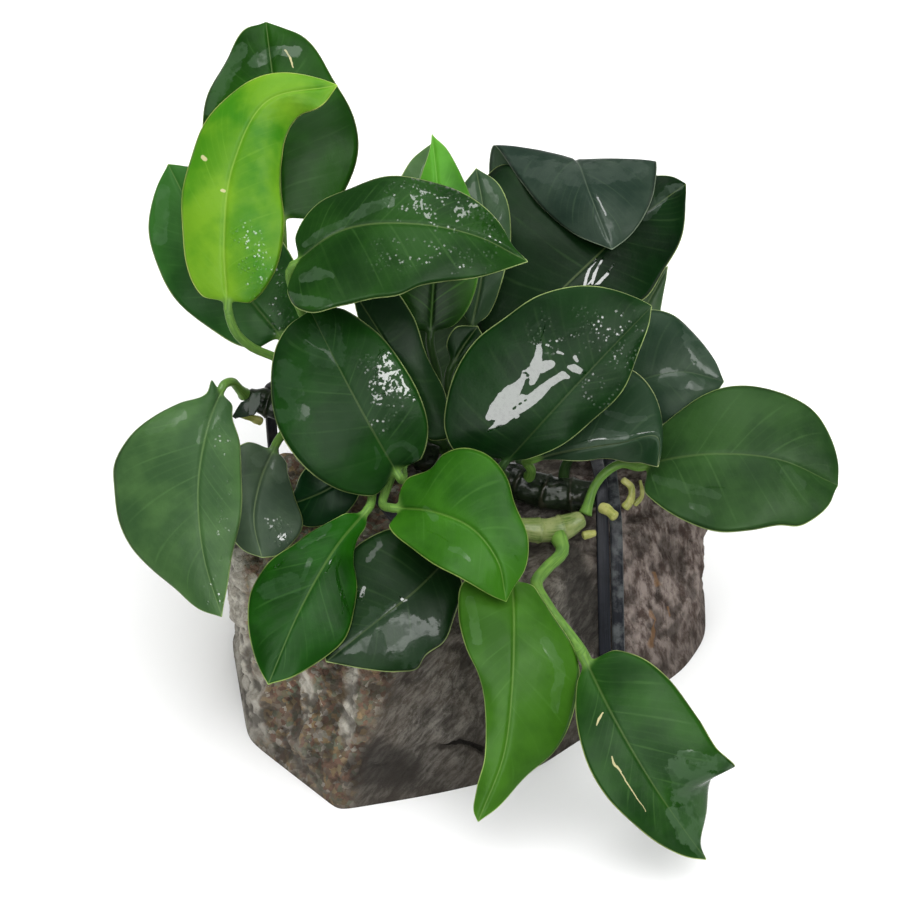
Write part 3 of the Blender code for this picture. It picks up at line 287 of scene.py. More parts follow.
        right=((5, 22.5), (8.3, 27.5))),
    "leaf_dark_inner": dict(
        foot=0.43, tilt=(-0.1, -0.1), stalk=((-7, 4, -37),),
        midrib=((-6.5, 13, -30), (-14, 24, -26), (-25, 41, -30)), left=((-13, 13), (-20, 23)),
        right=((-5.2, 2.6), (-0.5, 3), (-0.8, 14), (-6, 24), (-9.5, 34), (-15.5, 41.5))),
}

# Roots and an old stalk: the places along each, the radius at its start and at its tip.
ROOTS = {
    "root_blunt": (((37.6, -14.2, -29.0), (39.2, -15.0, -27.5), (41.6, -16.9, -26.0)), 1.5, 1.3),
    "root_short": (((33.0, -21.5, -30.0), (35.0, -20.9, -30.5), (36.5, -20.7, -31.0)), 1.1, 0.9),
    "root_curved": (((43.0, -7.2, -30.5), (45.3, -9.5, -30.0), (44.8, -13.0, -30.0), (43.5, -14.6, -30.5)),
                    0.8, 1.2),
    "root_thin": (((47.6, -7.5, -31.0), (48.0, -11.5, -31.0), (46.0, -13.8, -31.5)), 0.5, 0.7),
    "old_stalk_stub": (((-47.0, 7.0, -44.0), (-50.0, 8.2, -42.0), (-53.5, 9.3, -40.0)), 1.2, 0.7),
}
SCRAP_OUTLINE = ((-49.5, 14.5), (-47.3, 14.3), (-47.3, 11.5), (-48.8, 8.8), (-53.8, 7.7), (-54.3, 8.6),
                 (-52.3, 12.0), (-50.3, 12.8))
SCRAP_TOWARD = -33.5
SCRAP_THICKNESS = 0.9
SCRAP_POINTS = 96
SCRAP_RINGS = 14
# Rings, and points in a ring, of the stems.
RHIZOME_GRID = (260, 56)
SHOOT_GRID = (110, 44)
ROOT_GRID = (60, 24)
# Skins of the stems: deep, light and scar colour, roughness, and how strong the streaks are.
BARKS = {
    "rhizome_bark": ((0.003, 0.006, 0.003), (0.013, 0.022, 0.009), (0.030, 0.028, 0.016), 0.24, 0.35),
    "shoot_bark": ((0.080, 0.135, 0.026), (0.200, 0.235, 0.085), (0.050, 0.085, 0.020), 0.3, 0.6),
    "root_bark": ((0.200, 0.230, 0.045), (0.400, 0.390, 0.130), (0.160, 0.140, 0.050), 0.34, 0.4),
    "old_leaf_skin": ((0.005, 0.011, 0.006), (0.018, 0.034, 0.018), (0.05, 0.045, 0.025), 0.4, 0.3),
}

# Colours of a stalk in deep shade.
SHADED_STALK = dict(stalk=(0.01, 0.028, 0.007), stalk_light=(0.026, 0.062, 0.013))

# What each leaf's skin shows: its deep and light green and how strong its veins are. The other
# entries lie where the viewer sees them, in mm right and up. pool, gap, film_and_sheen, sparkle, wet and
# scar are strokes, each place with half the stroke's width: thick water, dry gaps in it, thin water that
# is also painted pale as a painted sheen, scattered drops, fine lines of water and old wounds.
# painted_sheen sets how strongly the thin water is painted pale, and rim is the
# colour of the pale rim, which also paints a highlight along the margin. bright, painted_shade and
# drops are soft marks: a line, a width and now and then a strength; painted_shade paints the leaf darker
# as painted shade, and where drops gather the droplets are painted paler as painted highlights. fine
# makes the leaf's grid that many times denser.
# The greens were set leaf by leaf to how bright each leaf looks, so they also hold part of its light and
# shade: painted light and shade. The greyer greens of the grey and folded leaves stand partly for painted
# reflection.
LOOKS = {
    "leaf_top_left_back": dict(
        deep=(0.0048, 0.0284, 0.0017), light=(0.0119, 0.0596, 0.0032), veins=0.35, painted_sheen=1.8,
        film_and_sheen=(((-60.75, 85.5, 1.75), (-57, 92, 2.25), (-52.5, 100, 2)), ((-48.75, 97, 2),
            (-43.75, 100, 1.25), (-38.5, 99.5, 1.5))),
        scar=(((-41.25, 100, 0.23), (-40, 98, 0.3), (-39.25, 95.75, 0.17)),),
        bright=((((-30, 80), (-28, 62.5)), 7.5, 0.35),)),
    "leaf_yellow_green": dict(
        deep=(0.034, 0.16, 0.0045), light=(0.128, 0.28, 0.0125), veins=0.35, rim=(0.55, 0.66, 0.16),
        scar=(((-61.75, 73.25, 0.7), (-61.25, 72.75, 0.7)), ((-57, 65, 0.47), (-56.5, 64.75, 0.47))),
        bright=((((-56.2, 75), (-58.8, 57.5), (-56.2, 42.5)), 8.5, 0.8), (((-40, 85),
            (-32.5, 83.8)), 5.5, 0.9)), drops=((((-51.2, 52.5), (-46.2, 40)), 6.5, 0.8),)),
    "leaf_far_left": dict(
        deep=(0.011, 0.0547, 0.0079), light=(0.0292, 0.1155, 0.0169), veins=0.3, painted_sheen=1.6,
        film_and_sheen=(((-71.75, 65, 1.75), (-72.5, 52.5, 1.75)),), painted_shade=((((-45, 54.5), (-42, 52.5)), 1.5, 1),),
        drops=((((-43.8, 42.5), (-41.2, 30)), 6, 0.8),)),
    "leaf_top_middle": dict(
        deep=(0.0049, 0.0251, 0.0031), light=(0.0136, 0.0564, 0.0062), veins=0.4, painted_sheen=1.7,
        film_and_sheen=(((-36.25, 51.25, 0.75), (-33, 53.5, 1.25), (-28.75, 55.5, 1.5), (-25, 57.5, 1.25),
            (-21.25, 60, 1.5), (-15, 62.25, 1.5)), ((-37, 43, 1), (-33.5, 44, 1.75), (-30, 44, 0.75),
            (-28.5, 42.75, 0.25)), ((-41.75, 38.75, 1.25), (-37.5, 37.5, 1.5), (-30, 36.75, 1))),
        sparkle=(((-10.5, 67.5, 1.5), (-5, 65.5, 2.25), (1.25, 64.25, 2)), ((-9, 62.5, 1.75),
            (-5, 58.75, 2.25)), ((1.5, 59.25, 2), (8.75, 56.5, 2.25), (12.5, 52.5, 1.5)), ((5.5, 61.5, 1.5),
            (10, 60, 1.5))),
        wet=(((-9.75, 63.75, 0.2), (-9, 62.75, 0.4)), ((-7.25, 62, 0.33), (-7, 60.75, 0.33)),
            ((-6.25, 59.25, 0.28), (-5.75, 58.5, 0.42), (-5.25, 59.25, 0.2)), ((1.75, 57.25, 0.3),
            (2.25, 57.5, 0.2)), ((7, 61, 0.2), (7.5, 60.5, 0.28))),
        drops=((((-11.2, 62.5), (0, 60), (12.5, 53.8)), 7.5, 1), (((-17.5, 48.8), (7.5, 47.5)), 6.5, 0.6))),
    "leaf_centre_left": dict(
        deep=(0.003, 0.0209, 0.0022), light=(0.0072, 0.0437, 0.0037), veins=0.4, midrib=0.2, groove=0.3,
        film_and_sheen=(((-31, 27.5, 5), (-31, 24.5, 5)), ((-40.5, 19.5, 3.5), (-40, 15, 3.5)), ((-42.5, 8.5, 2),
            (-37.5, 9.5, 2.25)), ((-18.75, 0.75, 0.38), (-17.75, -2, 0.75), (-18.5, -4.5, 0.5)),
            ((-16, -1.25, 0.5), (-14.5, 0.75, 0.75), (-11.75, 1.75, 0.75), (-9, 0, 1), (-8.25, -2.5, 0.88),
            (-10.5, -5, 0.62), (-12.5, -6, 0.25))),
        sparkle=(((-17.5, 25.5, 1.5), (-16, 21.5, 2.5), (-14.5, 17, 3.5), (-11.5, 14.5, 2)),
            ((-19.25, 16.5, 1.5), (-17.5, 12.5, 1.75)), ((-12.5, 19, 1.25), (-9.25, 13.25, 1.25))),
        wet=(((-16.75, 25, 0.35), (-16, 23, 0.25)), ((-19.75, 20.25, 0.25), (-18.5, 20.75, 0.45),
            (-17.25, 21, 0.25)), ((-18.75, 19.5, 0.25), (-17.25, 18.5, 0.38), (-14.5, 19.25, 0.42),
            (-13.5, 19.75, 0.17)), ((-12, 17.75, 0.25), (-11.25, 16, 0.33), (-10.25, 15.25, 0.2)),
            ((-18, 12.5, 0.25), (-17, 13, 0.33))), drops=((((-18.8, 26.2), (-16.2, 8.8)), 6, 1),)),
    "leaf_centre_right": dict(
        deep=(0.0013, 0.0117, 0.0015), light=(0.0031, 0.0248, 0.0022), veins=0.2, midrib=0.12, fine=2,
        groove=0.15,
        pool=(((9.75, 8.25, 1), (11.5, 10.5, 1.75), (13.5, 12.5, 2.25), (15.5, 14.5, 2), (17, 16, 1.25),
            (18.25, 17.75, 0.88), (18.75, 19.25, 0.88)), ((11.5, 7.5, 1), (14, 10, 1.25),
            (16.25, 11.75, 1.25), (18.25, 13, 1)), ((20.5, 16.75, 0.75), (21, 19, 1.5), (21.5, 21, 1.5),
            (22, 23.25, 1), (22.25, 25, 0.88), (22, 26.5, 0.38)), ((20.25, 19.75, 1.25),
            (23.25, 20.75, 1.5), (25.25, 21.5, 1.12)), ((9.5, 4.75, 0.3), (11.75, 6.25, 0.8),
            (14.25, 8.25, 1.25), (17, 10.25, 1.38), (20, 12.25, 1.5), (22.5, 14.5, 1.38),
            (24.5, 16.5, 1.12), (26.5, 17.75, 1), (28.25, 18.75, 1), (29.5, 18.25, 0.5)),
            ((29.75, 20.75, 0.55), (31, 20.5, 1.1), (32.5, 19.75, 0.8), (33.75, 19.25, 0.38))),
        gap=(((15, 9.5, 0.15), (17, 11.25, 0.2), (19, 12.5, 0.15)), ((18.5, 14.25, 0.2), (20, 15, 0.35),
            (22, 16.5, 0.55), (24.25, 18.25, 0.6), (26.5, 19.5, 0.6), (28, 21, 0.5)), ((18.75, 19.5, 0.2),
            (19.5, 18.5, 0.28), (19.25, 17.25, 0.25), (18.5, 16, 0.2)), ((10, 7.25, 0.25), (11, 7.25, 0.2))),
        wet=(((31.25, 23.25, 0.55), (31.75, 22.25, 0.4)), ((27, 24.5, 0.4), (28.25, 24, 0.3)),
            ((16.5, 8.25, 0.38), (17, 8.5, 0.38)), ((22.5, 26.25, 0.3), (23, 28.75, 0.23),
            (23.75, 31.25, 0.12))), bright=((((27.5, 2.5), (45, 17.5)), 6, 0.3),),
        drops=((((25, 30), (42.5, 30)), 7.5, 1), (((37.5, 15), (47.5, 25)), 6.5, 0.8)), **SHADED_STALK),
    "leaf_bright_centre": dict(
        deep=(0.0118, 0.064, 0.0027), light=(0.0279, 0.1173, 0.0054), veins=0.35, rim=(0.35, 0.5, 0.12),
        painted_sheen=1.5,
        film_and_sheen=(((-6.25, -14.5, 0.62), (-3.75, -17, 1)), ((-0.25, -24.5, 0.5), (2, -25, 0.88),
            (5, -27.5, 0.5))),
        wet=(((-5.75, -20, 0.15), (-2.5, -21.5, 0.2), (-0.5, -22.75, 0.2)), ((16.25, -26.25, 0.2),
            (17, -27.5, 0.2))), bright=((((-2.5, -17.5), (7.5, -23.8), (12.5, -32.5)), 7.5, 0.7),)),
    "leaf_front_left": dict(
        deep=(0.0032, 0.0298, 0.0009), light=(0.008, 0.0666, 0.0017), veins=0.45, rim=(0.32, 0.46, 0.12),
        groove=0.5,
        film_and_sheen=(((-45.5, -35, 2.5), (-40, -33.75, 3)), ((-37.5, -23.75, 1), (-33, -21.25, 1.25),
            (-30, -18.75, 0.75)), ((-35, -27.5, 0.75), (-36.75, -32.5, 0.5))),
        wet=(((-27.5, -27.5, 0.28), (-28.25, -29.5, 0.42), (-28, -32.5, 0.5), (-27.25, -35.5, 0.57),
            (-26.25, -38, 0.42), (-25, -41, 0.23)), ((-27.25, -36, 0.25), (-26.75, -39.5, 0.23),
            (-27, -41, 0.12)), ((-28.75, -26.75, 0.28), (-29.75, -28, 0.35), (-30.25, -29.5, 0.25),
            (-31.25, -30.75, 0.15)), ((-46.75, -30.5, 0.23), (-43, -29, 0.45), (-41.5, -27.5, 0.25))),
        bright=((((-35, -47.5), (-41.2, -60)), 5.5, 0.5),)),
    "leaf_left": dict(
        deep=(0.0248, 0.0634, 0.0199), light=(0.0557, 0.123, 0.0354), veins=0.35, rim=(0.3, 0.42, 0.16),
        film_and_sheen=(((-57.25, 16.25, 1.25), (-57, 12.5, 1.5), (-58.75, 8.75, 1.75), (-61.25, 5, 1.5),
            (-62.5, 2.5, 1)), ((-75, 5, 1.5), (-67.5, 8.75, 1.75))),
        wet=(((-59.25, 18.75, 0.25), (-57.75, 19.5, 0.5), (-56, 19.5, 0.25)),),
        bright=((((-75, -27.5), (-66.2, -35)), 6.5, 0.5),),
        drops=((((-59.5, -33.8), (-58.5, -39.5)), 3.5, 1), (((-57, 5), (-56, -27.5)), 3.5, 0.6))),
    "leaf_grey_left": dict(
        deep=(0.0291, 0.0505, 0.0299), light=(0.0583, 0.0926, 0.0515), veins=0.2, painted_sheen=1.5,
        film_and_sheen=(((-48, -2.5, 2), (-43.75, -1.25, 2.5), (-42.5, -6.25, 2)),),
        sparkle=(((-44.5, -19.5, 1.25), (-42, -21.25, 2), (-40, -22, 1.25)),),
        wet=(((-45, -20, 0.2), (-44.5, -19, 0.25), (-43.5, -19.25, 0.2)), ((-40.5, -20, 0.25),
            (-39.75, -20.5, 0.35))), drops=((((-44.5, -18.8), (-38.8, -23.8)), 4.5, 1),)),
    "leaf_dark_behind": dict(
        deep=(0.0016, 0.0182, 0.0033), light=(0.0032, 0.0353, 0.0052), veins=0.25),
    "leaf_lower_middle": dict(
        deep=(0.0021, 0.0123, 0.002), light=(0.0051, 0.0233, 0.0037), veins=0.3, midrib=0.2, groove=0.4,
        film_and_sheen=(((-25, -48.75, 3), (-16.25, -44.5, 6), (-8.75, -47.5, 6.5), (-3, -50, 3.5)),
            ((-19.5, -18.75, 0.62), (-17.5, -23.75, 0.75), (-20.5, -27.5, 0.75))),
        sparkle=(((-23.25, -37.5, 0.75), (-21.75, -35, 1)),),
        wet=(((-23.25, -37, 0.45), (-22.5, -35.75, 0.65), (-21.5, -34.5, 0.45)), ((-12.5, -36.75, 0.28),
            (-11.5, -37.5, 0.45), (-10.75, -37.5, 0.23)), ((-6, -32, 0.2), (-5, -32.75, 0.25))),
        painted_shade=((((-20.5, -49.5), (-15.5, -50.5)), 3.2, 1), (((-25, -30), (-5, -34)), 8, 0.6)),
        drops=((((-23, -35), (-22, -40)), 2, 0.8),)),
    "leaf_front_hanging": dict(
        deep=(0.0207, 0.0753, 0.005), light=(0.0391, 0.1284, 0.0081), veins=0.45, rim=(0.4, 0.55, 0.16),
        painted_sheen=1.5,
        film_and_sheen=(((5, -37.5, 1.25), (7, -47.5, 1.5)), ((23.75, -47.5, 1.25), (27.5, -55, 1.5),
            (26.25, -65, 1.25))), bright=((((12.5, -62.5), (11.2, -82.5)), 5.5, 0.5),)),
    "leaf_lower_right": dict(
        deep=(0.0055, 0.0303, 0.0032), light=(0.0158, 0.0679, 0.0058), veins=0.5, rim=(0.38, 0.48, 0.16),
        midrib=0.24, stalk_radius=1.6, groove=0.6, painted_sheen=2.4,
        film_and_sheen=(((57, -75.5, 0.5), (61.25, -76.75, 1.5), (66.25, -78.25, 2.25), (70.5, -79.25, 0.75)),
            ((57.5, -80, 3.5), (61.75, -85, 6.5), (62.5, -91.25, 5)), ((55.5, -90.5, 1.5), (60, -95.5, 3.5),
            (63, -100.5, 1.5))),
        scar=(((36.75, -68.75, 0.17), (37.25, -67.25, 0.38), (38.25, -65.75, 0.23)), ((40.5, -76.75, 0.2),
            (41.25, -78.75, 0.35), (42.75, -80.5, 0.23)), ((41.75, -79, 0.2), (45, -84.5, 0.17),
            (49, -90.25, 0.1))), bright=((((50, -62.5), (60, -72.5)), 6, 0.5),)),
    "leaf_right": dict(
        deep=(0.0092, 0.0308, 0.0071), light=(0.0242, 0.0676, 0.0142), veins=0.45, rim=(0.36, 0.5, 0.16),
        midrib=0.22, groove=0.5,
        film_and_sheen=(((51.25, -7, 1), (58.75, -9.5, 1.5), (63.75, -10.5, 1.25), (67.5, -11.75, 0.75)),
            ((60, -13.75, 0.75), (63.75, -15.5, 1.5)), ((83.75, -5, 1.5), (87.5, -8.75, 2))),
        wet=(((60, -10, 0.3), (65, -9.25, 0.3), (68.75, -9.5, 0.17)),),
        bright=((((60, 0), (77.5, 2.5)), 6.5, 0.35),)),
    "leaf_folded_right": dict(
        deep=(0.01, 0.0308, 0.0115), light=(0.0282, 0.0545, 0.0287), veins=0.3, rim=(0.42, 0.5, 0.22),
        painted_sheen=1.8,
        film_and_sheen=(((35, 2.5, 0.75), (37.5, 4, 1.5), (43.75, 3.5, 1)), ((38.75, 9.5, 0.75), (45, 7.5, 1),
            (48.75, 8, 0.75))),
        wet=(((27.5, 0.75, 0.17), (35, 2.5, 0.2), (42.5, 3.5, 0.17), (51.25, 4.75, 0.15)),)),
    "leaf_right_back": dict(
        deep=(0.0091, 0.0255, 0.0119), light=(0.0226, 0.0456, 0.0233), veins=0.3, rim=(0.3, 0.42, 0.18),
        midrib=0.15, groove=0.3, painted_sheen=1.6,
        film_and_sheen=(((59.5, 33, 1.75), (61.75, 27.5, 4), (65.5, 22, 3.5)), ((54.5, 18, 2.5), (62.5, 16.5, 1.75))),
        bright=((((55, 12.5), (65, 14.5)), 2.25, 1.2),), **SHADED_STALK),
    "leaf_top_right_folded": dict(
        deep=(0.0113, 0.0242, 0.016), light=(0.0281, 0.0463, 0.0311), veins=0.3, rim=(0.25, 0.32, 0.22),
        film_and_sheen=(((37.5, 58.75, 1.25), (39, 55.5, 2), (40.5, 52.5, 1.5)), ((12.5, 72.5, 2), (27.5, 68.75, 3.5),
            (47.5, 70, 2.5))),
        wet=(((36.75, 63.75, 0.2), (37.75, 61.25, 0.23), (39, 58.75, 0.25)), ((21, 61.25, 0.35),
            (22, 61.5, 0.25))), **SHADED_STALK),
    "leaf_large_back": dict(
        deep=(0.001, 0.0085, 0.0013), light=(0.0029, 0.0197, 0.0029), veins=0.35, groove=0.4, painted_sheen=2.2,
        film_and_sheen=(((48.75, 58, 1), (51.25, 61.25, 1.5), (54.5, 65, 1.25), (57.5, 66, 1)),),
        wet=(((33.5, 40.5, 0.38), (34, 43, 0.38), (35, 45.5, 0.35), (36.5, 47.5, 0.28),
            (36.75, 48.25, 0.17)), ((35.5, 41.5, 0.25), (36, 43.5, 0.5), (37, 45.5, 0.28),
            (38.25, 48, 0.25)), ((36, 41, 0.25), (37.5, 42, 0.45), (39.25, 44, 0.35), (41, 46.5, 0.17)),
            ((34.5, 41.5, 0.23), (35.5, 42.5, 0.23))),
        painted_shade=((((10, 34), (14, 50), (20, 66)), 21, 1), (((24, 40), (30, 44)), 9, 0.7)), **SHADED_STALK),
    "leaf_sliver_right": dict(
        deep=(0.0266, 0.0577, 0.0253), light=(0.0544, 0.0981, 0.0422), veins=0.2, **SHADED_STALK),
    "leaf_young_light": dict(
        deep=(0.03, 0.13, 0.008), light=(0.07, 0.25, 0.018), veins=0.35, rim=(0.3, 0.42, 0.14),
        bright=((((-3, 70), (-3.5, 65)), 5, 0.7),), painted_shade=((((-4, 2), (-3.5, 24), (-3.5, 45)), 26, 1.35),),
        **SHADED_STALK),
    "leaf_grey_back_right": dict(
        deep=(0.0186, 0.0442, 0.0191), light=(0.0365, 0.0727, 0.0318), veins=0.25,
        film_and_sheen=(((7.5, 65, 3), (12, 58.75, 2)),), **SHADED_STALK),
    "leaf_grey_back_left": dict(
        deep=(0.0363, 0.0828, 0.0282), light=(0.0725, 0.1462, 0.047), veins=0.25,
        film_and_sheen=(((-8.75, 71.25, 2), (-6.25, 67.5, 1.5)),), painted_shade=((((-5, 5), (-6, 25), (-8, 45)), 20, 1),),
        **SHADED_STALK),
    "leaf_small_round": dict(
        deep=(0.0016, 0.0134, 0.0013), light=(0.0035, 0.0255, 0.0024), veins=0.3, **SHADED_STALK),
    "leaf_dark_inner": dict(
        deep=(0.0051, 0.0203, 0.0058), light=(0.0111, 0.0374, 0.0088), veins=0.3, **SHADED_STALK),
}

# Soft lights: name, place in m, width and height in m, share of the power, and whether it is a
# window, which only gloss shows, or a lamp, which gloss doesn't show. They all point at one place.
LIGHTS = (
    ("overhead", (0.22, -0.18, 1.20), (1.7, 1.7), 0.80, False),
    ("back", (0.10, 1.10, 0.90), (0.7, 0.7), 0.12, False),
    ("left", (-1.10, -0.30, 0.80), (0.8, 0.8), 0.12, False),
    ("window_above", (0.06, 0.27, 1.25), (0.7, 0.7), 0.4, True),
    ("window_front", (-0.20, -1.02, 0.74), (0.72, 1.24), 1.0, True),
    ("window_right", (0.54, -0.58, 1.05), (0.56, 0.56), 0.5, True),
)
LIGHTS_AIM = np.array((0.0, 0.02, 0.06))

# Fine surface of a leaf: rows and columns of its grid, and its relief in mm.
BLADE_ROWS = 112
HALF_COLUMNS = 20
COLUMN_POWER = 1.4
STALK_ROWS = 26
BLADE_ENDS = 0.004
EDGE_THICKNESS = 0.12
VEIN_SWEEP = 0.2
GROOVE_WIDTH = 0.55
MIDRIB_RADIUS = 1.0
BLEND_LENGTH = 6.0
FOOT_FLARE_LENGTH = 2.5
FOOT_SINK = 1.2
MIDRIB_SHARE = 0.34
STALK_LIGHT = (0.16, 0.30, 0.05)
FILM_ROUGHNESS = 0.2
WATER_ROUGHNESS = 0.07
LEAF_BUMP = 0.0005

# Fine surface of the stone: columns round it, and rows up its sides, over its top and underneath.
STONE_COLUMNS = 500
STONE_SIDE_ROWS = 104
STONE_RIM_ROWS = 8
STONE_TOP_ROWS = 42
STONE_FLOOR_ROWS = 12
# The rock's grain on its front runs up to the right: that direction and two across it.
STONE_GRAIN_AXES = np.array(((0.70, 0.28, 0.66), (0.0, 0.92, -0.39), (-0.71, 0.27, 0.64)))
# The ridge on the stone as the viewer sees it, in mm right and up, and strokes with half widths.
STONE_RIDGE = ((-12.5, -50.0), (-16.0, -62.0), (-22.0, -75.0), (-26.0, -90.0))
STONE_CRACK = (
    ((-2.0, -74.6, 0.15), (0.5, -73.8, 0.4), (2.8, -72.8, 0.55), (5.0, -73.8, 0.7), (8.6, -75.2, 0.9)),
)
# Painted shade: dark strokes low on the front, and a painted leaf shadow at the front's right end.
STONE_SHADE = (((-22.0, -80.0, 6.0), (-16.0, -79.0, 8.0), (-12.0, -80.0, 7.0)),
               ((30.0, -26.0, 4.0), (33.0, -37.0, 5.5), (34.0, -46.0, 4.0)))
STONE_RUST = (
    ((51.2, -31.0, 0.6), (52.0, -33.5, 0.9)),
    ((50.2, -40.3, 0.9), (51.5, -42.5, 0.5), (51.0, -45.8, 0.6), (50.2, -48.5, 1.1)),
    ((54.5, -39.5, 0.4), (55.0, -41.5, 0.4)),
)
# Marks on the stone: strokes, where their edge ends, how strong they are and their colour.
STONE_MARKS = (
    (STONE_SHADE, 0.55, 0.72, (0.022, 0.020, 0.018)),
    (STONE_RUST, 0.6, 0.6, (0.27, 0.145, 0.062)),
    (STONE_CRACK, 0.4, 1.0, (0.010, 0.009, 0.008)),
)
# Crumbs of the rock: red brown, and other tints over it for shares of the crumbs.
CRUMB_COLOUR = (0.270, 0.150, 0.105)
CRUMB_TINTS = (
    (0.22, 0.3, (0.240, 0.200, 0.156)),
    (0.46, 0.54, (0.390, 0.275, 0.144)),
    (0.66, 0.74, (0.225, 0.245, 0.170)),
    (0.86, 0.92, (0.360, 0.330, 0.280)),
)


def smoothstep(low, high, values):
    share = np.clip((np.asarray(values, float) - low) / (high - low), 0.0, 1.0)
    return share * share * (3.0 - 2.0 * share)


def place(readings):
    """World places, in mm, of (right, up, toward) readings along the viewer's lines of sight."""
    readings = np.asarray(readings, float)
    seen = AIM + readings[..., :1] * RIGHT + readings[..., 1:2] * UP
    return EYE + (seen - EYE) * (1.0 - readings[..., 2:3] / VIEW_DISTANCE)


def as_seen(points):
    """How far right and up, in mm, the viewer sees world places."""
    rays = points - EYE
    stretch = -VIEW_DISTANCE / (rays @ TOWARD)
    flat = EYE + rays * stretch[..., None] - AIM
    return np.stack((flat @ RIGHT, flat @ UP), axis=-1)


def unit(vectors):
    return vectors / np.maximum(np.linalg.norm(vectors, axis=-1, keepdims=True), 1e-9)


def smooth(points, shares):
    """Smooth curve through the points, read at shares of its length: cubic pieces that meet with
    the same slope, where the slope at a point comes from its two neighbours."""
    points = np.asarray(points, float)
    chords = np.linalg.norm(np.diff(points, axis=0), axis=1)
    knots = np.concatenate(([0.0], np.cumsum(chords))) / chords.sum()
    slopes = np.gradient(points, knots, axis=0)
    shares = np.asarray(shares, float)
    span = np.clip(np.searchsorted(knots, shares, side="right") - 1, 0, len(knots) - 2)
    width = (knots[span + 1] - knots[span])[:, None]
    x = (shares[:, None] - knots[span][:, None]) / width
    start, end = points[span], points[span + 1]
    return ((2 * x**3 - 3 * x**2 + 1) * start + (x**3 - 2 * x**2 + x) * width * slopes[span]
            + (3 * x**2 - 2 * x**3) * end + (x**3 - x**2) * width * slopes[span + 1])


def line_length(points):
    return np.linalg.norm(np.diff(points, axis=0), axis=1).sum()


def round_angles(count):
    return np.linspace(0.0, 2.0 * math.pi, count, endpoint=False)


def round_directions(angles):
    return np.stack((np.cos(angles), np.sin(angles)), axis=-1)


def run_along(points):
    """Distance in mm from a line's start to each of its points."""
    return np.concatenate(([0.0], np.cumsum(np.linalg.norm(np.diff(points, axis=0), axis=1))))


def shares_along(points):
    return run_along(points) / line_length(points)


def evenly_read(outline, count):
    """A closed flat outline of straight pieces, read at evenly spaced places."""
    closed = np.vstack((outline, outline[:1]))
    even = np.linspace(0.0, 1.0, count, endpoint=False)
    return np.stack([np.interp(even, shares_along(closed), closed[:, i]) for i in (0, 1)], axis=-1)


def off_piece(points, start, end):
    """Where along a straight piece each flat point is nearest, as a share, and how far off it is."""
    step = np.subtract(end, start)
    share = np.clip((points - start) @ step / (step @ step), 0.0, 1.0)
    return share, np.linalg.norm(points - start - share[..., None] * step, axis=-1)


def distance_to_line(points, line):
    """Shortest distance from flat points to a line of straight pieces."""
    return np.minimum.reduce([off_piece(points, start, end)[1] for start, end in zip(line, line[1:])])


def ripples(points, length, seed, waves=5):
    """Soft random relief, about -1 to 1: sine waves of about one length in random directions, added."""
    random = np.random.default_rng(seed)
    directions = unit(random.normal(size=(waves, 3)))
    lengths = length * random.uniform(0.7, 1.4, waves)
    phases = random.uniform(0.0, 2.0 * math.pi, waves)
    turns = points @ (directions / lengths[:, None]).T
    return np.sin(2.0 * math.pi * turns + phases).sum(axis=-1) / math.sqrt(waves)


def grain(points, size, seed):
    """Random height from -1 to 1 at places in mm: random values at the corners of cubes of a size,
    blended smoothly inside each cube."""
    values = np.random.default_rng(seed).uniform(-1.0, 1.0, GRAIN_VALUES)
    scaled = np.asarray(points) / size
    cell = np.floor(scaled)
    inside = scaled - cell
    inside = inside * inside * (3.0 - 2.0 * inside)
    cell = cell.astype(np.int64)
    total = np.zeros(cell.shape[:-1])
    for corner in np.ndindex(2, 2, 2):
        mixed = np.bitwise_xor.reduce((cell + corner) * GRAIN_PRIMES, axis=-1)
        picked = values[mixed % GRAIN_VALUES]
        total += picked * np.prod(np.where(corner, inside, 1.0 - inside), axis=-1)
    return total


def rough(points, size, seed, layers=4, keep=0.5):
    """Rough relief: grain of a size, and of half that size with less height, and so on."""
    return sum(keep**i * grain(points, size / 2.0**i, seed + i) for i in range(layers))


def carried_frames(path, last_side):
    """Directions across a path: the side given at its end is carried back along it without twist."""
    tangents = unit(np.gradient(path, axis=0))
    sides = np.zeros_like(path)
    side = last_side
    for i in range(len(path) - 1, -1, -1):
        side = unit(side - np.dot(side, tangents[i]) * tangents[i])
        sides[i] = side
    return sides, np.cross(tangents, sides)


def circles(angles, sides, ups):
    """Directions round a path: at each place, the angle's cosine to the side plus its sine upwards."""
    return np.cos(angles)[None, :, None] * sides[:, None] + np.sin(angles)[None, :, None] * ups[:, None]


def grid_normals(grid, fallback):
    """Upward direction of a sheet at each grid point: across the columns crossed with along the rows."""
    raw = np.cross(np.gradient(grid, axis=1), np.gradient(grid, axis=0))
    weak = np.linalg.norm(raw, axis=-1, keepdims=True) < WEAK_CROSS
    return unit(np.where(weak, fallback, unit(raw)))


def ring_normals(rings):
    """The same for closed rings."""
    return grid_normals(np.concatenate((rings, rings[:, :1]), axis=1), WORLD_UP)[:, :-1]


def faces_eye(normals, places, low, high):
    """1 where a surface faces the viewer and 0 where it faces away, from one slant to another."""
    return smoothstep(low, high, np.sum(normals * unit(EYE - places), axis=-1))


def put_in_scene(name, data):
    thing = bpy.data.objects.new(name, data)
    bpy.context.scene.collection.objects.link(thing)
    return thing


def ring_cells(rows, count, closed=False):
    """Four-sided cells between neighbouring rings, and between the last and the first if closed."""
    row, column = np.meshgrid(np.arange(rows if closed else rows - 1), np.arange(count), indexing="ij")
    after, following = (row + 1) % rows, (column + 1) % count
    return np.stack((row * count + column, row * count + following,
                     after * count + following, after * count + column), axis=-1).reshape(-1, 4).tolist()


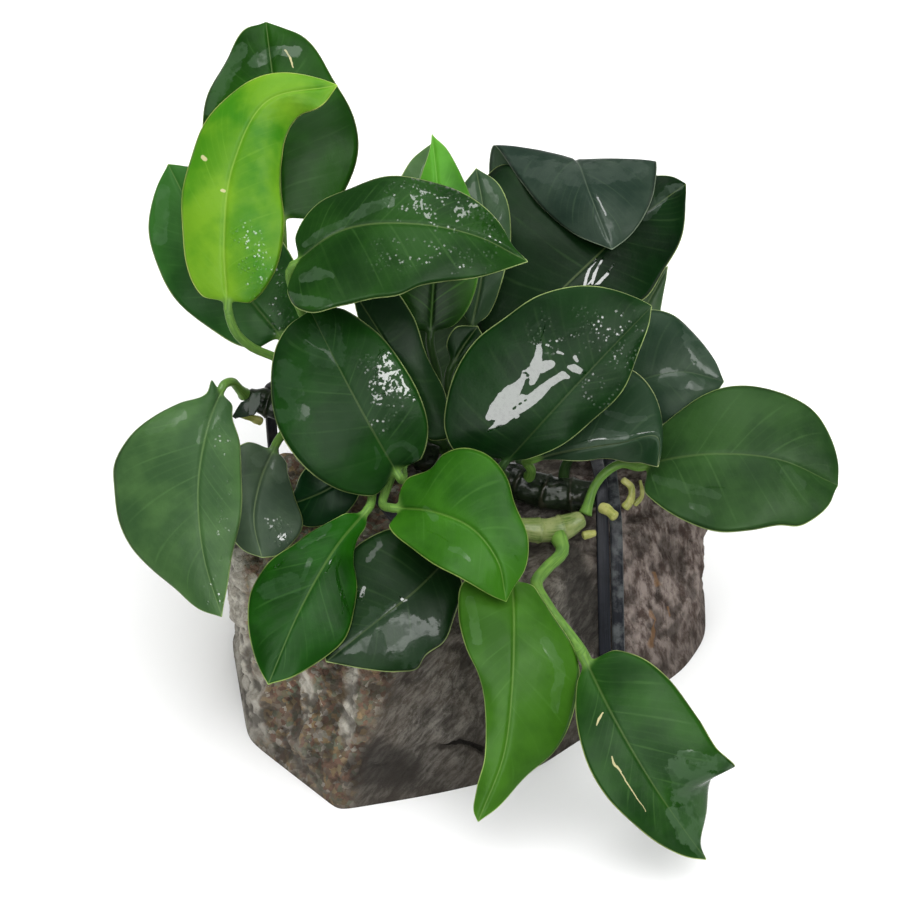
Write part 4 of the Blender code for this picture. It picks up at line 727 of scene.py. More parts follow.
def new_piece(name, points, faces, material):
    """A smooth piece, named after its node, from places in mm."""
    mesh = bpy.data.meshes.new(name + "_skin")
    mesh.from_pydata((points * MM).tolist(), [], faces)
    mesh.shade_smooth()
    mesh.materials.append(material)
    mesh.update()
    return put_in_scene(name + "_skin", mesh)


def store(piece, key, values):
    """Keeps one number or three for each point of a piece."""
    kind, field = ("FLOAT", "value") if values.shape[-1] == 1 else ("FLOAT_VECTOR", "vector")
    attribute = piece.data.attributes.new(key, kind, "POINT")
    attribute.data.foreach_set(field, values.astype(np.float32).ravel())


def places_of(mesh):
    """Places of a mesh's points, in mm."""
    points = np.zeros(len(mesh.vertices) * 3, np.float32)
    mesh.vertices.foreach_get("co", points)
    return points.reshape(-1, 3).astype(float) / MM


def skin(name, rings, attributes, material, end=None):
    """Piece from closed rings, an array of rows by points in mm. Its ends are drawn to a middle point.

    The faces are the four-sided cells between neighbouring rings, and a fan at either end."""
    rows, count = rings.shape[:2]
    end = rings[-1].mean(axis=0) if end is None else end
    points = np.vstack((rings.reshape(-1, 3), [rings[0].mean(axis=0), end]))
    ring = np.arange(count)
    after = np.roll(ring, -1)
    last_ring = (rows - 1) * count
    first = np.stack((after, ring, np.full(count, rows * count)), axis=-1)
    last = np.stack((ring + last_ring, after + last_ring, np.full(count, rows * count + 1)), axis=-1)
    piece = new_piece(name, points, ring_cells(rows, count) + first.tolist() + last.tolist(), material)
    for key, values in attributes.items():
        flat = np.asarray(values, np.float32).reshape(rows * count, -1)
        store(piece, key, np.vstack((flat, flat[:count].mean(axis=0), flat[-count:].mean(axis=0))))
    return piece


def turned_out(piece):
    """Turns the piece inside out if its faces point inwards, read from its signed volume."""
    mesh = piece.data
    mesh.calc_loop_triangles()
    corners = np.zeros(len(mesh.loop_triangles) * 3, np.int32)
    mesh.loop_triangles.foreach_get("vertices", corners)
    a, b, c = np.moveaxis(places_of(mesh)[corners.reshape(-1, 3)], 1, 0)
    if np.einsum("ij,ij->i", a, np.cross(b, c)).sum() < 0.0:
        mesh.flip_normals()


def stands_for(piece, node):
    """The piece rides on the object and replaces its plain solid."""
    turned_out(piece)
    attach(piece, "root")
    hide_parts(node)


# Materials are built from small helpers that add one node each and return its socket.

def feed(tree, node, inputs):
    """Links sockets to a node's inputs, and sets numbers, places and colours on them."""
    for key, value in inputs.items():
        socket = node.inputs[key]
        if isinstance(value, bpy.types.NodeSocket):
            tree.links.new(value, socket)
        elif socket.type == "RGBA" and len(value) == 3:
            socket.default_value = (*value, 1.0)
        else:
            socket.default_value = value


def add(tree, kind, inputs=None, **settings):
    made = tree.nodes.new(kind)
    for key, value in settings.items():
        setattr(made, key, value)
    feed(tree, made, inputs or {})
    return made


def maths(tree, operation, first, second=0.0, clamp=False):
    return add(tree, "ShaderNodeMath", {0: first, 1: second}, operation=operation,
               use_clamp=clamp).outputs[0]


def vectors(tree, operation, first, second, output="Vector"):
    return add(tree, "ShaderNodeVectorMath", {0: first, 1: second}, operation=operation).outputs[output]


def joining(operation):
    """A helper that joins any number of values by one operation, from left to right."""
    def join(tree, first, *more, clamp=False):
        for value in more:
            first = maths(tree, operation, first, value, clamp)
        return first
    return join


times = joining("MULTIPLY")
plus = joining("ADD")
highest = joining("MAXIMUM")


def between(tree, value, low, high, to_low=0.0, to_high=1.0):
    """Smooth step from one value to another while the input goes from low to high."""
    return add(tree, "ShaderNodeMapRange", {"Value": value, "From Min": low, "From Max": high,
                                            "To Min": to_low, "To Max": to_high},
               interpolation_type="SMOOTHSTEP", clamp=True).outputs[0]


def mixed(tree, share, first, second):
    return add(tree, "ShaderNodeMix", {0: share, 6: first, 7: second},
               data_type="RGBA", clamp_factor=True).outputs[2]


def layered(tree, colour, *layers):
    """Colours laid over the first one after another, each by its share."""
    for share, tone in layers:
        colour = mixed(tree, share, colour, tone)
    return colour


def mixed_value(tree, share, first, second):
    return add(tree, "ShaderNodeMix", {0: share, 2: first, 3: second}, data_type="FLOAT",
               clamp_factor=True).outputs[0]


def carried(tree, name, kind="Vector"):
    """A value stored in the mesh."""
    return add(tree, "ShaderNodeAttribute", attribute_name=name).outputs[kind]


def parts_of(tree, vector):
    return add(tree, "ShaderNodeSeparateXYZ", {0: vector}).outputs


def own_place(tree, scale=(1.0, 1.0, 1.0)):
    """Object coordinates, stretched."""
    place_of = add(tree, "ShaderNodeTexCoord").outputs["Object"]
    return add(tree, "ShaderNodeMapping", {"Vector": place_of, "Scale": scale}).outputs[0]


def noise(tree, vector, scale, detail=3.0, roughness=0.5):
    return add(tree, "ShaderNodeTexNoise", {"Vector": vector, "Scale": scale, "Detail": detail,
                                            "Roughness": roughness}).outputs[0]


def cells_of(tree, vector, scale):
    return add(tree, "ShaderNodeTexVoronoi", {"Vector": vector, "Scale": scale}).outputs["Distance"]


def drawn_out(tree, run, across, along_share, across_share):
    """A place for streaks: the way along, drawn out, and the way across."""
    inputs = {0: times(tree, run, along_share), 1: times(tree, across, across_share)}
    return add(tree, "ShaderNodeCombineXYZ", inputs).outputs[0]


def bump(tree, height, strength, distance, normal=None):
    inputs = {"Height": height, "Strength": strength, "Distance": distance}
    if normal is not None:
        inputs["Normal"] = normal
    return add(tree, "ShaderNodeBump", inputs).outputs[0]


def new_material(name):
    material = bpy.data.materials.new(name)
    material.use_nodes = True
    tree = material.node_tree
    shader = next(node for node in tree.nodes if node.type == "BSDF_PRINCIPLED")
    return material, tree, shader


def strokes(tree, seen, lines):
    """Strokes along lines: 1 on a middle line and 0 at the edge, where half the stroke's width goes
    from point to point. 1 less the distance to the nearest place on a piece of the line, as a share
    of the width there, and the highest of all pieces."""
    field = 0.0
    for line in lines:
        for (x, y, wide), (next_x, next_y, next_wide) in zip(line, line[1:]):
            step = np.array((next_x - x, next_y - y, 0.0))
            off = vectors(tree, "SUBTRACT", seen, (x, y, 0.0))
            share = vectors(tree, "DOT_PRODUCT", off, tuple(step / (step @ step)), "Value")
            share = plus(tree, share, 0.0, clamp=True)
            nearest = add(tree, "ShaderNodeVectorMath", {0: tuple(step), "Scale": share}, operation="SCALE")
            away = vectors(tree, "DISTANCE", off, nearest.outputs[0], "Value")
            width = plus(tree, times(tree, share, next_wide - wide), wide)
            near = maths(tree, "SUBTRACT", 1.0, maths(tree, "DIVIDE", away, width))
            field = highest(tree, field, near)
    return field


def wandered(tree, name, here, scale, reach):
    """The place that the viewer sees, in mm right and up, pushed about so that strokes get ragged edges."""
    stored = carried(tree, name)
    push = add(tree, "ShaderNodeTexNoise", {"Vector": here, "Scale": scale, "Detail": 4.0, "Roughness": 0.6})
    push = vectors(tree, "SUBTRACT", push.outputs["Color"], (0.5, 0.5, 0.5))
    push = vectors(tree, "MULTIPLY", push, (reach, reach, 0.0))
    flat = vectors(tree, "MULTIPLY", stored, (1.0, 1.0, 0.0))
    return vectors(tree, "ADD", flat, push), parts_of(tree, stored)[2]


def leaf_material(name, look, settings):
    """Leaf skin: blotched green, pale midrib, faint side veins and a thin pale rim that also paints a
    highlight, a paler underside and a satin shine, with the wet films, droplets and scars that this leaf
    carries. The films are painted pale as a painted sheen, the droplets paler as painted highlights, and
    dark marks paint shade."""
    material, tree, shader = new_material(name + "_skin")
    share_along, share_across, vein_phase = parts_of(tree, carried(tree, "leaf_place"))
    from_midrib, from_margin, on_stalk = parts_of(tree, carried(tree, "leaf_measure"))
    bright, painted_shade, drops = parts_of(tree, carried(tree, "leaf_marks"))
    film_and_sheen, pool, sparkle = parts_of(tree, carried(tree, "leaf_water"))
    here = own_place(tree)
    ragged, facing = wandered(tree, "leaf_seen", here, 330.0, 0.9)
    off_stalk = between(tree, on_stalk, 0.0, 0.4, 1.0, 0.0)
    light = look["light"]

    # Blotches of the blade, deep to light, lighter by the midrib, by the margin and along the bright marks.
    blotch = between(tree, noise(tree, here, 55.0, 4.0, 0.55), 0.36, 0.64)
    fine = noise(tree, here, 420.0, 2.0, 0.6)
    lightness = plus(tree, times(tree, blotch, 0.75), times(tree, fine, 0.14), times(tree, bright, 0.6),
                     between(tree, from_midrib, 0.4, 4.5, 0.16, 0.0),
                     between(tree, from_margin, 0.0, 2.5, 0.2, 0.0))
    colour = mixed(tree, plus(tree, lightness, -0.12, clamp=True), look["deep"], light)

    # Side veins are thin arcs where the stored phase is whole, and faint finer ones run between them.
    wobble = times(tree, plus(tree, noise(tree, here, 130.0, 3.0), -0.5), 0.22)
    to_vein = plus(tree, maths(tree, "PINGPONG", vein_phase, 1.0), wobble)
    to_small = plus(tree, maths(tree, "PINGPONG", times(tree, vein_phase, 4.0), 1.0), wobble)
    fade = times(tree, between(tree, from_margin, 0.6, 5.0), off_stalk,
                 between(tree, noise(tree, here, 70.0, 2.0), 0.35, 0.6, 0.25, 1.0))
    vein = times(tree, between(tree, maths(tree, "ABSOLUTE", to_vein), 0.0, 0.09, 1.0, 0.0), fade,
                 settings.vein_strength * look["veins"])
    small_vein = times(tree, between(tree, to_small, 0.0, 0.35, 1.0, 0.0), fade, 0.1)
    vein_colour = mixed(tree, 0.12, light, settings.vein_colour)
    # Painted shade: the dark marks paint the blade near black where it lies in shade.
    colour = layered(tree, colour, (times(tree, painted_shade, 0.7), (0.006, 0.018, 0.006)),
                     (small_vein, vein_colour), (vein, vein_colour))

    # Midrib line, a pale rim that also paints a highlight, stalk and the underside, which is paler and
    # greyer.
    rim_colour = look.get("rim", settings.rim_colour)
    rib_width = between(tree, share_along, 0.0, 1.0, 0.5, 0.22)
    rib = between(tree, from_midrib, times(tree, rib_width, 0.35), rib_width, 1.0, 0.0)
    streaks = noise(tree, drawn_out(tree, share_along, share_across, 0.12, 3.0), 1.7, 3.0)
    stalk_colour = mixed(tree, between(tree, streaks, 0.34, 0.66, 0.15, 0.65),
                         look.get("stalk", settings.stalk_colour), look.get("stalk_light", STALK_LIGHT))
    rim = times(tree, between(tree, from_margin, 0.1, 0.36, 1.0, 0.0), off_stalk,
                between(tree, noise(tree, here, 90.0, 2.0), 0.3, 0.6, 0.35, 1.0), 0.95)
    under = times(tree, maths(tree, "SUBTRACT", 1.0, carried(tree, "leaf_upper", "Fac")), off_stalk)
    colour = layered(
        tree, colour,
        (times(tree, rib, look.get("midrib", MIDRIB_SHARE)), mixed(tree, 0.3, light, rim_colour)),
        (between(tree, on_stalk, 0.15, 0.85), stalk_colour), (rim, rim_colour),
        (times(tree, under, 0.75), mixed(tree, 0.5, light, settings.underside_colour)))

    # Old scars, thin films with a crisp ragged edge, which are also painted pale below as a painted
    # sheen, and thicker water that shines like glass.
    scar = between(tree, strokes(tree, ragged, look.get("scar", ())), 0.0, 0.35)
    frayed = plus(tree, noise(tree, here, 360.0, 4.0, 0.62), -0.5)
    fine_water = between(tree, strokes(tree, ragged, look.get("wet", ())), 0.0, 0.2)
    pooled = between(tree, plus(tree, pool, times(tree, frayed, 0.7)), 0.0, 0.1)
    scattered = between(tree, plus(tree, sparkle, times(tree, frayed, 1.5)), 0.1, 0.25)
    dashes = between(tree, noise(tree, own_place(tree, (1.0, 0.6, 1.3)), 1100.0, 1.0), 0.54, 0.6)
    wet = times(tree, highest(tree, fine_water, pooled, times(tree, scattered, dashes)), facing)
    film_and_sheen = times(tree, between(tree, plus(tree, film_and_sheen, times(tree, frayed, 1.6)), 0.0, 0.14), facing,
                 between(tree, noise(tree, here, 210.0, 3.0), 0.42, 0.5, 0.45, 1.0))

    # Droplets: round cells, kept only where the wet gathers. They are also painted paler as a painted
    # highlight.
    grouped = between(tree, noise(tree, here, 260.0, 2.0), 0.44, 0.58)
    round_bead = between(tree, cells_of(tree, here, 900.0), 0.14, 0.4, 1.0, 0.0)
    beaded = times(tree, grouped, between(tree, drops, 0.1, 0.5))
    bead_and_highlight = times(tree, round_bead, beaded)
    # Painted sheen: the thin films are painted pale toward grey green, this strongly.
    painted_sheen = settings.painted_wet_sheen * look.get("painted_sheen", 1.0)
    colour = layered(tree, colour, (times(tree, scar, facing, 0.85), (0.50, 0.46, 0.24)),
                     (times(tree, film_and_sheen, painted_sheen), mixed(tree, 0.2, light, (0.26, 0.31, 0.28))),
                     # Painted highlight: the droplets are painted paler.
                     (times(tree, bead_and_highlight, 0.22), (0.20, 0.28, 0.19)))

    dry = plus(tree, times(tree, noise(tree, here, 150.0, 3.0), 0.22), settings.leaf_roughness - 0.1)
    roughness = mixed_value(tree, film_and_sheen, plus(tree, dry, times(tree, under, 0.2)), FILM_ROUGHNESS)
    roughness = mixed_value(tree, highest(tree, wet, between(tree, bead_and_highlight, 0.05, 0.3)), roughness,
                            WATER_ROUGHNESS)
    waves = times(tree, noise(tree, here, 95.0, 2.0), 1.6)
    pores = plus(tree, times(tree, fine, 0.35), times(tree, noise(tree, here, 1500.0, 2.0), 0.2))
    normal = bump(tree, plus(tree, pores, waves), 0.3, LEAF_BUMP)
    water = plus(tree, round_bead, times(tree, noise(tree, here, 420.0, 2.0), 0.8))
    normal = bump(tree, water, times(tree, highest(tree, wet, beaded), 0.5), LEAF_BUMP, normal)
    glassy = highest(tree, wet, bead_and_highlight, times(tree, film_and_sheen, 0.15))
    feed(tree, shader, {"Base Color": colour, "Roughness": roughness, "Normal": normal,
                        "Coat Weight": plus(tree, glassy, 0.0, clamp=True),
                        "Coat Roughness": 0.05, "Specular IOR Level": 0.05})
    return material


def branch_point(foot):
    """Centre, direction and radius of the rhizome, or of its young branch, at a share of its length."""
    branch, share = (RHIZOME, foot) if not isinstance(foot, tuple) else (SHOOT, foot[1])
    centres = place([point for point, radius in branch])
    near = smooth(centres, np.clip([share - NEAR_SHARE, share, share + NEAR_SHARE], 0.0, 1.0))
    radius = float(np.interp(share, shares_along(centres), [radius for point, radius in branch]))
    return near[1], unit(near[2] - near[0]), radius


def blade_lines(leaf, shares):
    """Left margin, midrib and right margin of a blade in mm, at shares of its length."""
    middle = np.array(leaf["midrib"], float)
    seen_middle = smooth(middle, shares)
    margins = []
    for side, slope in (("left", leaf["tilt"][0]), ("right", leaf["tilt"][1])):
        points = [(*point, 0.0)[:3] for point in leaf[side]]
        ends = [(*middle[0][:2], 0.0), (*middle[-1][:2], 0.0)]
        margin = smooth([ends[0], *points, ends[1]], shares)
        away = np.linalg.norm(margin[:, :2] - seen_middle[:, :2], axis=1)
        margin[:, 2] += seen_middle[:, 2] + slope * away
        margins.append(place(margin))
    return margins[0], place(seen_middle), margins[1]


def stalk_line(leaf, blade_start):
    """Stalk from inside the branch it grows on to the base of the blade, bending into the midrib."""
    centre, along, radius = branch_point(leaf["foot"])
    onward = place([*leaf["stalk"], leaf["midrib"][0]])
    outward = onward[0] - centre
    if leaf["foot"] not in BRANCH_ENDS:
        outward = outward - np.dot(outward, along) * along
    outward = unit(outward)
    start = centre + outward * (radius - FOOT_SINK)
    skin_point = centre + outward * (radius + GAP + SCAR_DEPTH + STRAIGHT_START)
    points = np.vstack(([start, skin_point], onward, [blade_start]))
    reach = run_along(points)
    return smooth(points, np.linspace(0.0, reach[-2] / reach[-1], STALK_ROWS))


def stroke_field(seen, lines):
    """Strokes on a surface: 1 on a middle line, 0 at the edge and less beyond, the highest of all. It
    is 1 less the distance to the nearest place on the line, as a share of half the width there."""
    field = np.full(seen.shape[:-1], -1.0)
    for line in lines:
        for start, end in zip(line, line[1:]):
            share, away = off_piece(seen, start[:2], end[:2])
            field = np.maximum(field, 1.0 - away / (start[2] + share * (end[2] - start[2])))
    return field


def soft_marks(seen, towards_eye, look, keys):
    """Strength of the leaf's soft marks: 1 on a mark's line, falling to 0 at its width."""
    fields = []
    for key in keys:
        field = np.zeros(seen.shape[:-1])
        for line, width, *strength in look.get(key, ()):
            near = np.clip(1.0 - distance_to_line(seen, line) / width, 0.0, 1.0)
            field = np.maximum(field, near * (strength[0] if strength else 1.0))
        fields.append(field * towards_eye)
    return np.stack(fields, axis=-1)


def leaf_skin(name, leaf, look, settings, seed):
    """A leaf, from the foot of its stalk to its tip, as rings round it.

    Rows run from foot to tip and columns across. The blade's middle sheet at (row, column) is the
    midrib plus the column's share of the way to the margin, plus a bulge of the half that is
    highest halfway. The relief added along the sheet's normal is a groove at the midrib, swellings
    between the side veins, a wave that grows towards the margin and a soft ripple. Half the
    thickness is laid on either side, and a round rib under the midrib. The stalk is a circle
    carried along a smooth line, and over the first few mm of blade the circle turns into it."""
    random = np.random.default_rng(seed)
    density = look.get("fine", 1)
    even = np.linspace(0.0, 1.0, BLADE_ROWS * density)
    shares = 0.7 * even + 0.3 * (0.5 - 0.5 * np.cos(math.pi * even))
    shares = BLADE_ENDS + (1.0 - 2.0 * BLADE_ENDS) * shares
    left, middle, right = blade_lines(leaf, shares)
    along = unit(np.gradient(middle, axis=0))
    ring_up = unit(np.cross(right - left, along))
    steps = np.linspace(-1.0, 1.0, 2 * HALF_COLUMNS * density + 1)
    across = np.sign(steps) * np.abs(steps) ** COLUMN_POWER
    away = np.abs(across)
    edges = np.where(across[None, :, None] < 0.0, left[:, None], right[:, None])
    reach = edges - middle[:, None]
    half = np.linalg.norm(reach, axis=-1)
    bulge = 4.0 * HALF_BULGE * away * (1.0 - away) * half
    sheet = middle[:, None] + away[None, :, None] * reach + bulge[..., None] * ring_up[:, None]
    up = grid_normals(sheet, ring_up[:, None])
    from_midrib = away * half
    from_margin = (1.0 - away) * half

    length = line_length(middle)
    run = run_along(middle)[:, None]
    veins = max(4.0, round(length / settings.vein_spacing))
    phase = veins * (shares[:, None] - VEIN_SWEEP * away**0.85) + np.where(across < 0.0, 0.5, 0.0)
    ends = smoothstep(0.0, 6.0, run) * smoothstep(0.0, 5.0, length - run)
    between_veins = 0.5 - 0.5 * np.cos(2.0 * math.pi * phase)
    quilt = settings.quilting * between_veins * smoothstep(0.3, 3.0, from_midrib)
    quilt = quilt * smoothstep(0.0, 4.0, from_margin)
    groove = -settings.groove_depth * look.get("groove", 1.0) * np.exp(-((from_midrib / GROOVE_WIDTH) ** 2))
    waves = np.sin(2.0 * math.pi * (run / random.uniform(15.0, 22.0) + random.uniform(0.0, 1.0))
                   + np.where(across < 0.0, 2.0, 0.0))
    ripple = settings.margin_wave * waves * away**3 + settings.ripple * ripples(sheet, 24.0, seed) * away
    relief = (quilt + groove + ripple) * ends
    thickness = EDGE_THICKNESS + (settings.blade_thickness - EDGE_THICKNESS) * (1.0 - away**6)
    rib_radius = MIDRIB_RADIUS * (1.0 - shares[:, None]) ** 0.7 + 0.12
    rib = np.sqrt(np.maximum(rib_radius**2 - from_midrib**2, 0.0)) * ends
    upper = sheet + ((relief + 0.5 * thickness)[..., None]) * up
    lower = sheet + ((relief - 0.5 * thickness - 0.8 * rib)[..., None]) * up
    upper[:, [0, -1]] = (sheet + relief[..., None] * up)[:, [0, -1]]
    blade = np.concatenate((upper, lower[:, -2:0:-1]), axis=1)

    def around(values):
        values = np.broadcast_to(values, half.shape)
        return np.concatenate((values, values[:, -2:0:-1]), axis=1)

    angles = math.pi * (steps + 1.0) / 2.0
    angles = np.concatenate((angles, 2.0 * math.pi - angles[-2:0:-1]))
    radius = look.get("stalk_radius", settings.stalk_radius)
    side = unit(left - right)
    side = unit(side - np.sum(side * along, axis=1, keepdims=True) * along)
    tube_up = np.cross(along, side)
    circle = circles(angles, side, tube_up)
    centre = middle - 0.45 * radius * ring_up * smoothstep(0.0, 3.0, run)
    turned = smoothstep(0.0, BLEND_LENGTH, run)[..., None]
    tapered = radius * (1.0 - 0.5 * smoothstep(0.0, BLEND_LENGTH, run))
    blade = (1.0 - turned) * (centre[:, None] + tapered[..., None] * circle) + turned * blade

    ahead = middle[np.searchsorted(run[:, 0], 5.0)]
    path = stalk_line(leaf, ahead)
    stalk_run = run_along(path)
    sides, ups = carried_frames(path, side[0])
    flare = 1.0 + settings.foot_flare * np.exp(-stalk_run / FOOT_FLARE_LENGTH)
    lumps = 1.0 + 0.02 * np.sin(stalk_run / 3.1 + seed)
    stalk = path[:, None] + (radius * flare * lumps)[:, None, None] * circles(angles, sides, ups)
    rings = np.concatenate((stalk[:-1], blade))

    rows, count = rings.shape[:2]
    before = rows - len(blade)
    blade_turned = np.broadcast_to(1.0 - turned[..., 0], (len(blade), count))
    on_stalk = np.concatenate((np.ones((before, count)), blade_turned))
    on_upper = np.concatenate((np.ones(len(steps)), np.zeros(len(steps) - 2)))

    def with_stalk(values, on_the_stalk):
        return np.concatenate((np.broadcast_to(on_the_stalk, (before, count)), around(values)))

    stalk_share = (stalk_run[:-1] - stalk_run[-1])[:, None]
    place_values = np.stack((with_stalk(shares[:, None], stalk_share), with_stalk(across, np.sin(angles)),
                             with_stalk(phase, 0.5)), axis=-1)
    measures = np.stack((with_stalk(from_midrib, 9.0), with_stalk(from_margin, 9.0), on_stalk), axis=-1)
    towards_eye = faces_eye(ring_normals(rings), rings, -0.05, 0.1)
    seen = as_seen(rings)
    water = np.stack([stroke_field(seen, look.get(key, ())) for key in ("film_and_sheen", "pool", "sparkle")], axis=-1)
    water[..., 1] = np.minimum(water[..., 1], -stroke_field(seen, look.get("gap", ())))
    attributes = {
        "leaf_place": place_values,
        "leaf_measure": measures,
        "leaf_upper": np.broadcast_to(on_upper, (rows, count)),
        "leaf_seen": np.concatenate((seen, towards_eye[..., None]), axis=-1),
        "leaf_marks": soft_marks(seen, towards_eye, look, ("bright", "painted_shade", "drops")),
        "leaf_water": water,
    }
    material = leaf_material(name, look, settings)
    tip = place([leaf["midrib"][-1]])[0]
    return skin(name, rings, attributes, material, end=tip)


def stem_skin(name, points, grid, material, relief):
    """A stem, branch or root: circles carried along a smooth line through the given points.

    points holds a place and a radius each, and grid the rings and the points in a ring.
    relief(run, angle, places) gives the height in mm that is added to the radius. Both ends are
    rounded over like a dome."""
    centres = place([point for point, radius in points])
    even = np.linspace(0.0, 1.0, grid[0])
    path = smooth(centres, even)
    radii = np.interp(even, shares_along(centres), [radius for point, radius in points])
    run = run_along(path)
    dome = np.minimum(1.0, np.minimum(run, run[-1] - run) / (0.5 * radii) + 1e-3)
    radii = radii * np.sqrt(1.0 - (1.0 - dome) ** 2 * 0.94)
    angles = round_angles(grid[1])
    outward = circles(angles, *carried_frames(path, unit(RIGHT + UP)))
    surface = path[:, None] + radii[:, None, None] * outward
    height = relief(run[:, None], angles[None, :], surface) * dome[:, None]
    surface = surface + height[..., None] * outward
    stored = np.stack(np.broadcast_arrays(run[:, None], angles[None, :], height), axis=-1)
    return skin(name, surface, {"stem_place": stored}, material)


def scar_rings(run, spacing, sharpness):
    """Height of the ring scars left by old leaves: a narrow ridge at every spacing along the stem."""
    return np.exp(sharpness * (np.cos(2.0 * math.pi * run / spacing) - 1.0))


def rhizome_relief(run, angle, places):
    ring = 0.5 * scar_rings(run + 0.8 * np.sin(angle), SCAR_SPACING, 9.0)
    return ring + 0.28 * ripples(places, 7.0, 31) + 0.16 * rough(places, 2.2, 32)


def shoot_relief(run, angle, places):
    fine_ridges = 0.06 * np.cos(9.0 * angle)
    return fine_ridges + 0.3 * scar_rings(run, 6.5, 12.0) + 0.18 * ripples(places, 8.0, 41)


def root_relief(run, angle, places):
    return 0.1 * ripples(places, 3.0, 51) + 0.04 * rough(places, 0.9, 52, 2)


def stem_material(name, deep, light, scar_colour, roughness, streak_strength):
    """Living stem: blotches and lengthwise streaks, darker at the ring scars, with a wet shine."""
    material, tree, shader = new_material(name)
    run, angle, height = parts_of(tree, carried(tree, "stem_place"))
    here = own_place(tree)
    blotch = between(tree, noise(tree, here, 220.0, 4.0, 0.6), 0.36, 0.64)
    streak = between(tree, noise(tree, drawn_out(tree, run, angle, 0.12, 2.6), 1.6, 3.0, 0.6), 0.4, 0.6)
    at_scar = between(tree, height, 0.22, 0.42)
    speck = between(tree, cells_of(tree, here, 900.0), 0.1, 0.22, 1.0, 0.0)
    colour = layered(tree, deep, (blotch, light), (times(tree, streak, streak_strength), light),
                     (times(tree, at_scar, 0.55), scar_colour), (times(tree, speck, 0.35), scar_colour))
    fine = plus(tree, times(tree, noise(tree, here, 1200.0, 3.0), 0.5), times(tree, streak, 0.4))
    feed(tree, shader, {"Base Color": colour, "Normal": bump(tree, fine, 0.3, 0.0003),
                        "Roughness": plus(tree, times(tree, blotch, 0.18), roughness),
                        "Coat Weight": 0.1, "Coat Roughness": 0.1, "Specular IOR Level": 0.08})
    return material


def scrap_skin(name, material):
    """The torn rest of an old leaf: rings that shrink from its torn outline to its middle, above and
    below, with a curl that grows with the square of the distance from the middle."""
    outline = np.array(SCRAP_OUTLINE, float)
    edge = evenly_read(outline, SCRAP_POINTS)
    middle = outline.mean(axis=0)
    shrink = np.sin(np.linspace(0.04, 0.5, SCRAP_RINGS) * math.pi)[:, None, None]
    rings = []
    for shares, side in ((shrink, 1.0), (shrink[::-1][1:], -1.0)):
        flat = middle + shares * (edge - middle)
        torn = ripples(np.concatenate((flat, flat[..., :1]), axis=-1), 1.6, 61)[..., None]
        flat = flat + 0.12 * shares * torn
        out = np.linalg.norm(flat - middle, axis=-1)
        thick = side * 0.5 * SCRAP_THICKNESS * np.sqrt(np.maximum(1.0 - shares[..., 0] ** 4, 0.0))
        curl = 0.05 * out**2 * np.sign(flat[..., 0] - middle[0])
        toward = SCRAP_TOWARD + 0.5 * SCRAP_THICKNESS + thick + curl
        rings.append(np.concatenate((flat, toward[..., None]), axis=-1))
    surface = place(np.concatenate(rings))
    return skin(name, surface, {"stem_place": np.zeros((*surface.shape[:2], 3))}, material)


def stone_breaks(points):
    """Height of the broken rock: blocks that stand out or lie back, less the creases between them."""
    total = np.zeros(points.shape[:-1])
    for seed, (size, height) in enumerate(STONE_BLOCKS):
        total += height * grain(points, size, seed)
    for seed, (size, depth) in enumerate(STONE_CREASES, len(STONE_BLOCKS)):
        total -= depth * np.abs(grain(points, size, seed))
    return total


def stone_lumps(points):
    """Height of the stone's lumps at places in mm: waves in several directions added up."""
    total = np.zeros(points.shape[:-1])
    for height, length, direction in STONE_LUMPS:
        wave = np.array(direction) / np.linalg.norm(direction) * 2.0 * math.pi / length
        total += height * np.sin(points @ wave + length) * np.cos(points @ np.roll(wave, 1))
    return total


def stone_reach(angles, heights):
    """How far each face lets the stone reach from its upright middle line, with rounded corners."""
    directions = round_directions(angles)
    closeness = np.zeros(len(angles))
    for start, end in zip(STONE_CORNERS, STONE_CORNERS[1:] + STONE_CORNERS[:1]):
        edge = np.subtract(end[:2], start[:2])
        outward = np.array((edge[1], -edge[0])) / np.hypot(*edge)
        lean = math.tan(math.radians(start[2]))
        distance = np.dot(np.subtract(start[:2], STONE_MIDDLE), outward) - heights * lean
        facing = np.maximum(directions @ outward, 0.0)
        closeness += (facing / distance) ** STONE_CORNER_SHARPNESS
    return closeness ** (-1.0 / STONE_CORNER_SHARPNESS)


def stone_top(flat):
    return STONE_TOP + (np.asarray(flat) - STONE_TOP_AT) @ np.array(STONE_TOP_SLOPE)


def stone_ring(angles, share, inset, drop, shrink=1.0):
    """One ring of the stone's skin, at a share of its height, drawn in and down near the rim."""
    directions = round_directions(angles)
    heights = np.full(len(angles), share * STONE_TOP)
    reach = (stone_reach(angles, heights) - inset) * shrink
    flat = np.array(STONE_MIDDLE) + directions * reach[:, None]
    ring = np.column_stack((flat, share * stone_top(flat) - drop))
    lump = stone_lumps(ring) + stone_breaks(ring) * (1.0 - inset / STONE_RIM)
    lump = lump * min(1.0, STONE_LUMPS_FADE * share)
    outward = unit(np.column_stack((directions, np.full(len(angles), inset / STONE_RIM))))
    if shrink < 1.0:
        outward = np.tile((0.0, 0.0, STONE_TOP_ROUGHNESS), (len(angles), 1))
    return ring + outward * lump[:, None]


def channel_share(flat):
    """How far a place under the stone is inside the hollows that the bands pass through, 0 to 1."""
    inside = np.zeros(flat.shape[:-1])
    for start, end, width in CHANNELS:
        along = unit(np.subtract(end, start))
        off = np.abs((flat - start) @ np.array((-along[1], along[0])))
        inside = np.maximum(inside, 1.0 - smoothstep(0.5 * width - 0.5, 0.5 * width + 0.5, off))
    return inside


